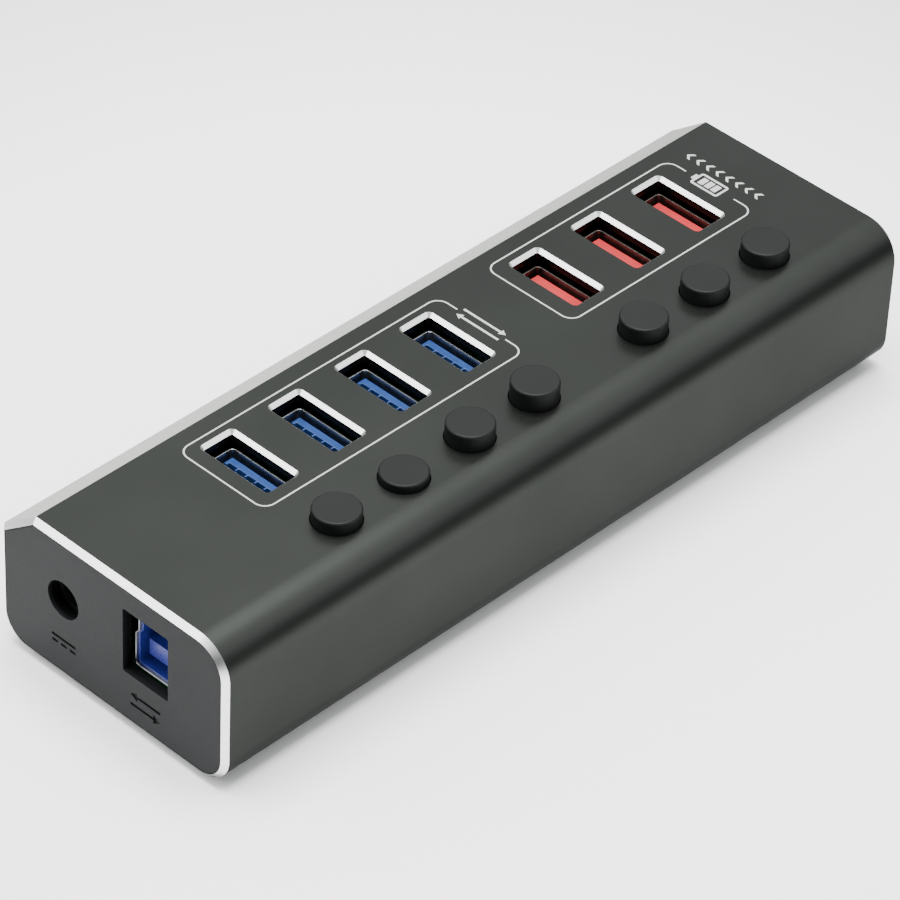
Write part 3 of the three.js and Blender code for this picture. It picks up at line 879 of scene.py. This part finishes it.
# %% Tongue with slots, in two kinds
SLOT_ROWS = {"data": (2.05, 1.75, 5), "charge": (2.3, 1.1, 4)}  # pitch, width in mm, and how many
SLOT_DEPTH = 0.60 * MM
SLOT_LENGTH = 7.0 * MM
TIP_LEFT_WHOLE = 0.9 * MM
TONGUE_BASE = 4.5 * MM
TONGUE_LENGTH = 11.15 * MM
TONGUE_THICKNESS = 1.84 * MM
TONGUE_OFFSET = 1.0 * MM

base_low, base_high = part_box("usb_a_tongue_1")
tongue_middle_y = (base_low.y + base_high.y) / 2
contact_face = shell_middle.x + TONGUE_OFFSET - TONGUE_THICKNESS / 2


def slot_places(kind):
    pitch, width, count = SLOT_ROWS[kind]
    first = (1 - count) / 2
    places = [tongue_middle_y + (first + step) * pitch * MM for step in range(count)]
    return places, width * MM


def make_tongue(kind):
    body = block(
        kind,
        (contact_face, tongue_middle_y - TONGUE_LENGTH / 2, base_low.z),
        (contact_face + TONGUE_THICKNESS, tongue_middle_y + TONGUE_LENGTH / 2, base_high.z),
    )
    foot = block("foot", base_low, (base_high.x, base_high.y, base_low.z + TONGUE_BASE))
    combine(body, foot, "UNION")
    slot_top = base_high.z + (REACH if kind == "data" else -TIP_LEFT_WHOLE)
    rows, width = slot_places(kind)
    tools = [
        block(
            "slot",
            (contact_face - REACH, y - width / 2, base_high.z - SLOT_LENGTH),
            (contact_face + SLOT_DEPTH, y + width / 2, slot_top),
        )
        for y in rows
    ]
    combine(body, join(tools, "slots"), "DIFFERENCE")
    return soften(body, width=0.12 * MM, segments=3, angle=50)


tongues = {kind: make_tongue(kind) for kind in SLOT_ROWS}
print("tongues:", {kind: triangles(tongue) for kind, tongue in tongues.items()}, "triangles")

# %% [markdown]
# A contact is a thin bronze strip whose upper part bulges out of its slot, to press on the plug.
# It is bowed in the same way as the leaves.

# %% Contacts, bowed near the top
CONTACT_WIDTH = 0.85 * MM
CONTACT_GAUGE = 0.15 * MM
CONTACT_TOP = 1.3 * MM
CONTACT_BED = 0.35 * MM
CONTACT_FOOT = 0.2 * MM
CURL = 0.25 * MM
CURL_LENGTH = 2.4 * MM


def contact_strip(y):
    top = base_high.z - CONTACT_TOP
    bottom = base_high.z - SLOT_LENGTH + CONTACT_FOOT
    strip = block(
        "contact",
        (contact_face + CONTACT_BED, y - CONTACT_WIDTH / 2, bottom),
        (contact_face + CONTACT_BED + CONTACT_GAUGE, y + CONTACT_WIDTH / 2, top),
    )
    pick(strip, "EDGE", lambda edge: near(edge.calc_length(), top - bottom))
    bpy.ops.mesh.subdivide(number_cuts=9)
    done()
    pick(strip, "VERT", lambda vertex: near(vertex.co.z, top - CURL_LENGTH / 2, CURL_LENGTH / 4))
    pull((-CURL, 0, 0), CURL_LENGTH / 2)
    return soften(strip, width=0.03 * MM, segments=1, angle=60)


contacts = {}
for kind in SLOT_ROWS:
    contacts[kind] = join([contact_strip(y) for y in slot_places(kind)[0]], "contacts")
print("contacts:", {kind: triangles(strips) for kind, strips in contacts.items()}, "triangles")

# %% [markdown]
# Shell, tongue and contacts exist once by now. The seven sockets are copies of them, each with a
# mesh of its own that is moved to its place: four with the blue tongue, three with the red one.

# %% Seven sockets from one
def copy_to(piece, name, shift):
    """A copy with a mesh of its own, moved by shift inside that mesh."""
    twin = piece.copy()
    twin.data = piece.data.copy()
    twin.data.transform(Matrix.Translation(Vector(shift)))
    twin.name = name
    bpy.context.scene.collection.objects.link(twin)
    return twin


for kind, finish in (("data", blue_plastic), ("charge", red_plastic)):
    coat(tongues[kind], finish)
    coat(contacts[kind], gold)

for number in PORTS:
    kind = "data" if number in DATA_PORTS else "charge"
    shift = port_places[number - 1] - port_places[0]
    own_shell = copy_to(shell, f"socket_shell_{number}", shift)
    coat(own_shell, tinned if kind == "data" else dull_tinned)
    own_tongue = copy_to(tongues[kind], f"socket_tongue_{number}", shift)
    own_contacts = copy_to(contacts[kind], f"socket_contacts_{number}", shift)
    finish_piece(own_shell, "base", f"usb_a_shell_{number}", slot="tinned_steel")
    slot_name = "blue_plastic" if kind == "data" else "red_plastic"
    finish_piece(own_tongue, "base", f"usb_a_tongue_{number}", slot=slot_name)
    finish_piece(own_contacts, "base")
for pattern_piece in (shell, *tongues.values(), *contacts.values()):
    bpy.data.objects.remove(pattern_piece)
print("sockets placed:", len(port_places))

# %% [markdown]
# ## Button caps
#
# Each push switch wears an ABS cap, which is a plain cylinder with a rounded top edge. It is made
# once: the edge of the top is bevelled, and the foot is inset and pushed up, to leave the socket
# for the stem of the switch.

# %% One button cap, and seven copies
CAP_EDGE = 0.38 * MM
STEM_SOCKET = (1.9 * MM, 6.0 * MM)  # radius and depth
cap_low, cap_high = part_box("button_cap_1")
cap_radius = (cap_high.x - cap_low.x) / 2
cap = cylinder("cap", (cap_low + cap_high) / 2, cap_radius, cap_high.z - cap_low.z, 96)
round_edges(
    cap, lambda edge: all(near(vertex.co.z, cap_high.z) for vertex in edge.verts), CAP_EDGE, 5
)
pick(cap, "FACE", lambda face: face.normal.z < -0.9)
bpy.ops.mesh.inset(thickness=cap_radius - STEM_SOCKET[0])
extrude(z=STEM_SOCKET[1])
done()
smooth(cap, 40)
coat(cap, button_plastic)
for number in PORTS:
    low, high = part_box(f"button_cap_{number}")
    own_cap = copy_to(cap, f"push_button_{number}", low - cap_low)
    finish_piece(own_cap, f"button_{number}", f"button_cap_{number}", slot="button_plastic")
print("button cap:", triangles(cap), "triangles, seven copies")
bpy.data.objects.remove(cap)

# %% [markdown]
# ## Return springs
#
# A small coil spring lies under each plunger. A ring of wire section is carried round and up by a
# Screw modifier, and its two ends are closed. When a button goes down its spring gets shorter.

# %% Seven springs, one under each button
SPRING_RADIUS = 1.6 * MM
SPRING_WIRE = 0.45 * MM
SPRING_TURNS = 3.5
STEPS_PER_TURN = 24


def coil(name, height):
    piece = apply_place(primitive(
        name, bpy.ops.mesh.primitive_circle_add, vertices=12, radius=SPRING_WIRE / 2,
        location=(SPRING_RADIUS, 0, SPRING_WIRE / 2), rotation=(math.pi / 2, 0, 0),
    ))
    steps = round(STEPS_PER_TURN * SPRING_TURNS)
    apply_modifier(
        piece, "SCREW", angle=2 * math.pi * SPRING_TURNS, screw_offset=height - SPRING_WIRE,
        steps=steps, render_steps=steps, use_merge_vertices=False,
    )
    pick(piece, "EDGE", lambda edge: edge.is_boundary)
    bpy.ops.mesh.fill()
    face_outwards()
    coat(piece, wire)
    return smooth(piece, 40)


for number in PORTS:
    low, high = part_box(f"switch_spring_{number}")
    place = button_places[number - 1]
    spring = coil("coil", high.z - low.z)
    own_spring = copy_to(spring, f"return_spring_{number}", (place.x, place.y, low.z))
    bpy.data.objects.remove(spring)
    finish_piece(own_spring, "base", f"switch_spring_{number}", slot="spring_steel")
    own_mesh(own_spring)
print("springs:", triangles(own_spring), "triangles each")

# %% [markdown]
# ## Upstream socket
#
# The square socket's mouth is wide and square below and narrower above. From a box, the top face
# is extruded a little and drawn in, then extruded on: that is the whole section. With its two
# ends opened and a thickness added, it becomes the shell, and a second, thinner one inside it
# becomes the blue lining of the insulator.

# %% The mouth's tube
MOUTH_WIDE = 4.2 * MM
MOUTH_NARROW = 3.5 * MM
MOUTH_STEP = (0.5 * MM, 1.3 * MM)  # where the narrowing starts and ends, above the middle
MOUTH_HALF_HEIGHT = 5.6 * MM
MOUTH_RADIUS = 0.7 * MM


def mouth_tube(name, grow, gauge, x_low, x_high):
    """A tube along X whose outside is the mouth's section grown by grow; gauge is its thickness."""
    y, z = upstream_middle.y, upstream_middle.z
    wide, narrow, tall = MOUTH_WIDE + grow, MOUTH_NARROW + grow, MOUTH_HALF_HEIGHT + grow
    tube = block(name, (x_low, y - wide, z - tall), (x_high, y + wide, z + MOUTH_STEP[0]))
    pick(tube, "FACE", lambda face: face.normal.z > 0.9)
    extrude(z=MOUTH_STEP[1] - MOUTH_STEP[0])
    centre = (x_low, y, z + MOUTH_STEP[1])
    bpy.ops.transform.resize(value=(1, narrow / wide, 1), center_override=centre)
    extrude(z=tall - MOUTH_STEP[1])
    done()
    middle_x = (x_low + x_high) / 2
    round_edges(
        tube, lambda edge: near(middle(edge).x, middle_x) and near(abs(middle(edge).z - z), tall),
        MOUTH_RADIUS, 5,
    )
    pick(tube, "FACE", lambda face: abs(face.normal.x) > 0.9)
    bpy.ops.mesh.delete(type="FACE")
    done()
    return apply_modifier(tube, "SOLIDIFY", thickness=gauge, offset=-1.0, use_even_offset=True)


upstream_shell = mouth_tube("upstream_shell", SHEET, SHEET, upstream_low.x, upstream_high.x)
soften(upstream_shell, width=0.12 * MM, segments=3, angle=60)
coat(upstream_shell, tinned)
finish_piece(upstream_shell, "base", "usb_b_shell", slot="tinned_steel")
print("upstream shell:", triangles(upstream_shell), "triangles")

# %% [markdown]
# Inside the shell the insulator lines the mouth. A thick tongue stands in the lower part with a
# thinner blade above it. Bars joined to a solid back make both, and one bevel softens all edges.

# %% Lining, tongue and blade
LINING = 0.35 * MM
LINING_SETBACK = 0.5 * MM
LINING_GAP = 0.04 * MM
insulator_low, insulator_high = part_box("usb_b_insulator")
TONGUE_BLOCK = (5.6 * MM, 3.0 * MM, -3.6 * MM, 0.0)  # width, height, lowest Z and setback
BLADE_BLOCK = (4.6 * MM, 1.0 * MM, 2.4 * MM, 2.0 * MM)
BACK = 3.0 * MM

insulator = mouth_tube(
    "insulator", -LINING_GAP, LINING, upstream_low.x + LINING_SETBACK, insulator_high.x
)
y, z = upstream_middle.y, upstream_middle.z
inner = MOUTH_NARROW - LINING / 2
back = block(
    "back",
    (insulator_high.x - BACK, y - inner, z - MOUTH_HALF_HEIGHT + LINING / 2),
    (insulator_high.x, y + inner, z + MOUTH_HALF_HEIGHT - LINING / 2),
)
combine(insulator, back, "UNION")
for width, height, low, setback in (TONGUE_BLOCK, BLADE_BLOCK):
    bar = block(
        "bar",
        (insulator_low.x + setback, y - width / 2, z + low),
        (insulator_high.x - BACK / 2, y + width / 2, z + low + height),
    )
    combine(insulator, bar, "UNION")
soften(insulator, width=0.10 * MM, angle=50)
coat(insulator, deep_blue_plastic)
insulator.name = "upstream_insulator"
finish_piece(insulator, "base", "usb_b_insulator", slot="blue_plastic")
print("upstream insulator:", triangles(insulator), "triangles")

# %% [markdown]
# ## Power jack
#
# A black moulded block with a round bore, and a turned pin in the middle of the bore. The pin is a
# cylinder whose tip is bevelled with many segments until it is nearly a dome.

# %% Jack body and pin
jack_low, jack_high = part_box("dc_jack_body")
pin_low, pin_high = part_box("dc_jack_pin")
BORE_RADIUS = 3.15 * MM
BORE_DEPTH = 9.5 * MM
PIN_TIP = 0.7  # the share of the pin's radius that its tip is rounded by

jack_body = block("jack_body", jack_low, jack_high)
bore_centre = (jack_low.x + (BORE_DEPTH - REACH) / 2, jack_middle.y, jack_middle.z)
bore = cylinder("bore", bore_centre, BORE_RADIUS, BORE_DEPTH + REACH, 64, LAID_ALONG_X)
combine(jack_body, bore, "DIFFERENCE")
soften(jack_body, width=0.12 * MM)

pin_radius = (pin_high.y - pin_low.y) / 2
pin_length = pin_high.x - pin_low.x
pin = cylinder("jack_pin", (pin_low + pin_high) / 2, pin_radius, pin_length, 48, LAID_ALONG_X)
round_edges(pin, lambda edge: at_end(edge, pin_low.x), pin_radius * PIN_TIP, 6)
smooth(pin, 40)
for piece, finish, node, slot_name in (
    (jack_body, black_plastic, "dc_jack_body", "black_plastic"),
    (pin, tinned, "dc_jack_pin", "tinned_steel"),
):
    coat(piece, finish)
    finish_piece(piece, "base", node, slot=slot_name)
    print(piece.name, triangles(piece), "triangles")

# %% [markdown]
# ## Feet
#
# Four stick-on discs of silicone rubber, with a rounded edge where they meet the desk.

# %% One foot, and four copies
FOOT_EDGE = 0.4 * MM
foot_low, foot_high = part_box("rubber_foot_1")
foot_radius = (foot_high.x - foot_low.x) / 2
foot = cylinder("foot", (foot_low + foot_high) / 2, foot_radius, foot_high.z - foot_low.z)
round_edges(
    foot, lambda edge: all(near(vertex.co.z, foot_low.z) for vertex in edge.verts), FOOT_EDGE, 5
)
smooth(foot, 40)
coat(foot, rubber)
for number in range(1, 5):
    low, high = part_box(f"rubber_foot_{number}")
    own_foot = copy_to(foot, f"foot_pad_{number}", low - foot_low)
    finish_piece(own_foot, "base", f"rubber_foot_{number}", slot="foot_rubber")
print("foot:", triangles(foot), "triangles, four copies")
bpy.data.objects.remove(foot)

# %% [markdown]
# ## Parts inside the case
#
# The board, its chips and the switches have the right shape in the CAD model already, and only
# slits of them can be seen. They stay as they are and get real materials in their slots.

# %% Materials for the parts that stay
INSIDE = (
    (laminate, ["circuit_board"]),
    (white_plastic, [f"switch_plunger_{number}" for number in PORTS]),
    (tinned, ["clock_crystal", "supply_capacitor"]),
    (
        black_plastic,
        [f"switch_body_{number}" for number in PORTS]
        + ["hub_controller_chip_1", "hub_controller_chip_2", "power_inductor"],
    ),
)
for finish, names in INSIDE:
    for name in names:
        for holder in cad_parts[name].material_slots:
            holder.material = finish
    print(finish.name, "on", len(names), "parts")

# %% [markdown]
# ## Printed marks
#
# A white line is screen-printed round each group of sockets, and stands about 0.03 mm proud. Each
# line is a plane whose corners are rounded, inset to leave a thin border and emptied in the
# middle; two bisects and a delete then open a gap in one short side for a symbol.

# %% The two group lines
INK = 0.03 * MM
INK_SINK = 0.005 * MM
FRAME_LINE = 0.27 * MM
FRAME_RADIUS = 2.2 * MM


def flat(name, x_low, x_high, y_low, y_high):
    """A plane on the top face between four limits."""
    place = ((x_low + x_high) / 2, (y_low + y_high) / 2, top_z - INK_SINK)
    piece = primitive(name, bpy.ops.mesh.primitive_plane_add, size=1, location=place)
    piece.scale = (x_high - x_low, y_high - y_low, 1)
    return apply_place(piece)


def rounded_line(name, x_low, x_high, y_low, y_high, radius, line):
    """A closed printed line; the limits are the outside of the line."""
    piece = flat(name, x_low, x_high, y_low, y_high)
    pick(piece, "VERT", lambda vertex: True)
    bpy.ops.mesh.bevel(affect="VERTICES", offset=radius, segments=12, profile=0.5)
    bpy.ops.mesh.select_mode(type="FACE")
    bpy.ops.mesh.select_all(action="SELECT")
    bpy.ops.mesh.inset(thickness=line)
    bpy.ops.mesh.delete(type="FACE")
    done()
    return piece


def print_ink(piece, name):
    """Gives a flat shape the thickness of a layer of ink."""
    pick(piece, "FACE", lambda face: True)
    extrude(z=INK + INK_SINK)
    face_outwards()
    coat(piece, mask_ink)
    piece.name = name
    return finish_piece(piece, "base")


def open_gap(piece, x, gap_low, gap_high):
    """Removes the line between two places along Y, in the short side at x."""
    for y in (gap_low, gap_high):
        pick(piece, "FACE", lambda face: True)
        bpy.ops.mesh.bisect(plane_co=(0, y, 0), plane_no=(0, 1, 0))
        done()
    pick(
        piece, "FACE",
        lambda face: near(middle(face).x, x, FRAME_LINE) and gap_low < middle(face).y < gap_high,
    )
    bpy.ops.mesh.delete(type="FACE")
    done()


def from_end(distance_mm):
    return case_low.x + distance_mm * MM


def from_side(distance_mm):
    return case_low.y + distance_mm * MM


# Millimetres: the two ends, the two sides, and where the gap starts and stops.
GROUP_LINES = {
    "data": ((26.33, 82.17), (19.42, 38.32), (23.6, 34.0)),
    "charge": ((92.73, 135.57), (19.60, 38.50), (23.95, 34.35)),
}
for name, (ends, sides, gap) in GROUP_LINES.items():
    limits = (*map(from_end, ends), *map(from_side, sides))
    line = rounded_line(name, *limits, FRAME_RADIUS, FRAME_LINE)
    open_gap(line, from_end(ends[1]), from_side(gap[0]), from_side(gap[1]))
    print_ink(line, f"{name}_group_line")
    print(name, "line:", triangles(line), "triangles")

# %% [markdown]
# The gaps hold plain symbols: two opposite arrows for data, and a battery with its level for
# charging. A row of chevrons beyond the second line says that its sockets charge fast.

# %% Arrows for data
ARROW_LENGTH = 9.0 * MM
ARROW_HEAD = 0.75 * MM
ARROW_SHAFT = 0.42 * MM
ARROWS_APART = 1.7 * MM


def flat_arrow(x, y, way):
    """A flat arrow along Y that points towards way (1 or -1)."""
    head_length = 1.5 * ARROW_HEAD
    shaft_y = sorted((y - way * ARROW_LENGTH / 2, y + way * (ARROW_LENGTH / 2 - head_length)))
    shaft = flat("shaft", x - ARROW_SHAFT / 2, x + ARROW_SHAFT / 2, *shaft_y)
    head = apply_place(primitive(
        "head", bpy.ops.mesh.primitive_circle_add, vertices=3, radius=ARROW_HEAD,
        fill_type="NGON", rotation=(0, 0, 0 if way > 0 else math.pi),
        location=(x, y + way * (ARROW_LENGTH / 2 - ARROW_HEAD), top_z - INK_SINK),
    ))
    return join([shaft, head], "arrow")


data_x = from_end(82.0)
label_y = from_side(28.8)
arrows = [flat_arrow(data_x - way * ARROWS_APART / 2, label_y, way) for way in (1, -1)]
print_ink(join(arrows, "data_arrows"), "data_arrows")
print("arrows printed:", len(arrows))

# %% [markdown]
# The battery is a small closed line with a terminal and three level bars. A chevron is a bar with
# an extra cut across its middle, which is then pushed forward.

# %% A battery and chevrons for charging
BATTERY = (3.4 * MM, 5.8 * MM)
BATTERY_LINE = 0.42 * MM
BATTERY_RADIUS = 0.5 * MM
TERMINAL = (1.4 * MM, 0.55 * MM)
TERMINAL_GAP = 0.05 * MM
LEVEL_INSET = 0.8 * MM
LEVEL_GAPS = (0.12 * MM, 0.18 * MM)  # below and above each bar
LEVELS = 3
CHEVRONS = 8
CHEVRON = (1.7 * MM, 0.55 * MM, 0.75 * MM)  # width, stroke and how far its middle leads
CHEVRON_PITCH = 2.1 * MM

x, y = from_end(135.4), from_side(29.2)
half_x, half_y = BATTERY[0] / 2, BATTERY[1] / 2
low_x, high_x, low_y, high_y = x - half_x, x + half_x, y - half_y, y + half_y
battery = [rounded_line("cell", low_x, high_x, low_y, high_y, BATTERY_RADIUS, BATTERY_LINE)]
terminal_y = high_y + TERMINAL_GAP
half_terminal = TERMINAL[0] / 2
battery.append(
    flat("terminal", x - half_terminal, x + half_terminal, terminal_y, terminal_y + TERMINAL[1])
)
room = BATTERY[1] - 4 * BATTERY_LINE
for level in range(LEVELS):
    low = y - room / 2 + level * room / LEVELS + LEVEL_GAPS[0]
    high = low + room / LEVELS - sum(LEVEL_GAPS)
    battery.append(flat("level", low_x + LEVEL_INSET, high_x - LEVEL_INSET, low, high))
print_ink(join(battery, "battery"), "battery_symbol")


def chevron(x, y):
    width, stroke, lead = CHEVRON
    piece = flat("chevron", x - width / 2, x + width / 2, y - stroke / 2, y + stroke / 2)
    pick(piece, "EDGE", lambda edge: near(middle(edge).x, x))
    bpy.ops.mesh.subdivide(number_cuts=1)
    done()
    pick(piece, "VERT", lambda vertex: near(vertex.co.x, x))
    bpy.ops.transform.translate(value=(0, lead, 0))
    done()
    return piece


row_y = from_side(29.3)
first_y = row_y - (CHEVRONS - 1) / 2 * CHEVRON_PITCH - CHEVRON[2] / 2
row = [chevron(from_end(139.0), first_y + step * CHEVRON_PITCH) for step in range(CHEVRONS)]
print_ink(join(row, "chevrons"), "charge_chevrons")
print("chevrons printed:", len(row))

# %% [markdown]
# ## Floor, light and camera
#
# The hub stands on a pale floor under soft studio light. The ceiling is one bright surface and
# the walls are dark, which is what shapes a dark metal: the top mirrors the ceiling, the sides
# mirror the floor, and every rounded edge between them shows the dark wall as a soft band. The
# floor is a white sheet with painted shade: its colour turns grey with distance from the hub,
# standing in for light that falls off, so the band fades softly on both sides.

# %% Floor
# Painted shade on the floor: its colour is white near the middle and turns grey further out, in
# place of light falling off with distance.
FLOOR_SIZE = 6.0
PAINTED_LIGHT_POOL_RADIUS = 0.10  # metres from the middle; beyond, the tone falls
PAINTED_SHADE_FULL_RADIUS = 0.28


# Paints the floor's shade into its colour: white out to the first radius, grey by the second.
def floor_painted_shade_patterns(tree, shader, place):
    distance = add(tree, "ShaderNodeVectorMath", {"operation": "LENGTH"}, links={0: place})
    tones = [(0.0, "#f8f8f8"), (PAINTED_LIGHT_POOL_RADIUS, "#f8f8f8"), (PAINTED_SHADE_FULL_RADIUS, "#7c7c7c")]
    drive(tree, shader, distance.outputs["Value"], tones=tones)


floor = primitive(
    "studio_floor", bpy.ops.mesh.primitive_plane_add, size=FLOOR_SIZE, location=(0, 0, 0)
)
# This material carries the painted shade that greys the floor with distance.
floor.data.materials.append(material("studio_sheet_painted_shade", floor_painted_shade_patterns, {"Roughness": 0.9}))

# %% [markdown]
# The room is a gradient by height in the world shader: dark below, bright from half way up. The
# side where the camera stands is darker too, as in a real studio, where nobody lights the camera.
# The direction from the camera is needed for that, so the camera's figures come here.

# %% The room's light as a gradient by height
CAMERA_AIM = Vector((-5.6, -2.25, 14.0)) * MM
CAMERA_DISTANCE = 759 * MM
CAMERA_HEADING = math.radians(47.36)
CAMERA_ELEVATION = math.radians(39.21)
CAMERA_ROLL = math.radians(2.74)
LENS = 196.4
SENSOR = 36
ahead = Vector((
    math.sin(CAMERA_HEADING) * math.cos(CAMERA_ELEVATION),
    math.cos(CAMERA_HEADING) * math.cos(CAMERA_ELEVATION),
    -math.sin(CAMERA_ELEVATION),
))
ROOM = [
    (0.0, "#444546"), (0.30, "#565758"), (0.58, "#f4f5f6"), (0.70, "#f4f5f6"), (0.84, "#acadae"),
]
ROOM_STRENGTH = 3.15
OPEN_SIDE = 0.25

sky = bpy.data.worlds.new("studio_room")
bpy.context.scene.world = sky
sky.use_nodes = True
tree = sky.node_tree
background = tree.nodes["Background"]
direction = add(tree, "ShaderNodeTexCoord").outputs["Generated"]
height = add(tree, "ShaderNodeSeparateXYZ", links={"Vector": direction})
room = add(tree, "ShaderNodeValToRGB", links={"Fac": height.outputs["Z"]}, stops=ROOM)
tree.links.new(room.outputs["Color"], background.inputs["Color"])

facing = add(
    tree, "ShaderNodeVectorMath", {"operation": "DOT_PRODUCT"}, {1: -ahead}, {0: direction}
)
strengths = {"To Min": ROOM_STRENGTH, "To Max": ROOM_STRENGTH * OPEN_SIDE}
open_side = add(
    tree, "ShaderNodeMapRange", inputs={"From Min": 0.70, "From Max": 0.95, **strengths},
    links={"Value": facing.outputs["Value"]},
)
tree.links.new(open_side.outputs["Result"], background.inputs["Strength"])
print("room levels:", ROOM)

# %% [markdown]
# One large soft panel overhead whitens the floor and gives the hub a faint shadow to stand on. Its
# mirror image is held back, because it would draw a hard streak on the large radius. A second,
# smaller panel stands beyond the chamfer, where the bright-cut edges mirror it to the camera. The
# dyed faces beside them mirror another part of the room and stay dark.

# %% Two soft panels
def panel(name, place, size, watts, glint):
    """A square area light that faces the hub; glint is the share of its mirror image."""
    data = bpy.data.lights.new(name, "AREA")
    data.size = size
    data.energy = watts
    data.specular_factor = glint
    lamp = bpy.data.objects.new(name, data)
    bpy.context.scene.collection.objects.link(lamp)
    lamp.location = place
    lamp.rotation_euler = (-Vector(place)).to_track_quat("-Z", "Y").to_euler()
    print(name, "at", place, "m,", watts, "W")


panel("overhead_panel", place=(0.0, 0.05, 1.5), size=1.1, watts=66, glint=0.1)
panel("edge_panel", place=(-0.76, 0.64, 0.68), size=0.6, watts=3.4, glint=1.0)

# %% [markdown]
# The camera looks down on the near left corner through a long lens, so perspective is slight. It
# is rolled a little, as a camera held by hand.

# %% Camera
camera_data = bpy.data.cameras.new("camera")
camera_data.lens = LENS
camera_data.sensor_width = SENSOR
camera_data.clip_start = 0.01
camera = bpy.data.objects.new("camera", camera_data)
bpy.context.scene.collection.objects.link(camera)
camera.location = CAMERA_AIM - ahead * CAMERA_DISTANCE
level = ahead.to_track_quat("-Z", "Y").to_matrix()
camera.rotation_euler = (level @ Matrix.Rotation(CAMERA_ROLL, 3, "Z")).to_euler()
bpy.context.scene.camera = camera
print("camera at, in mm:", [round(value / MM) for value in camera.location])
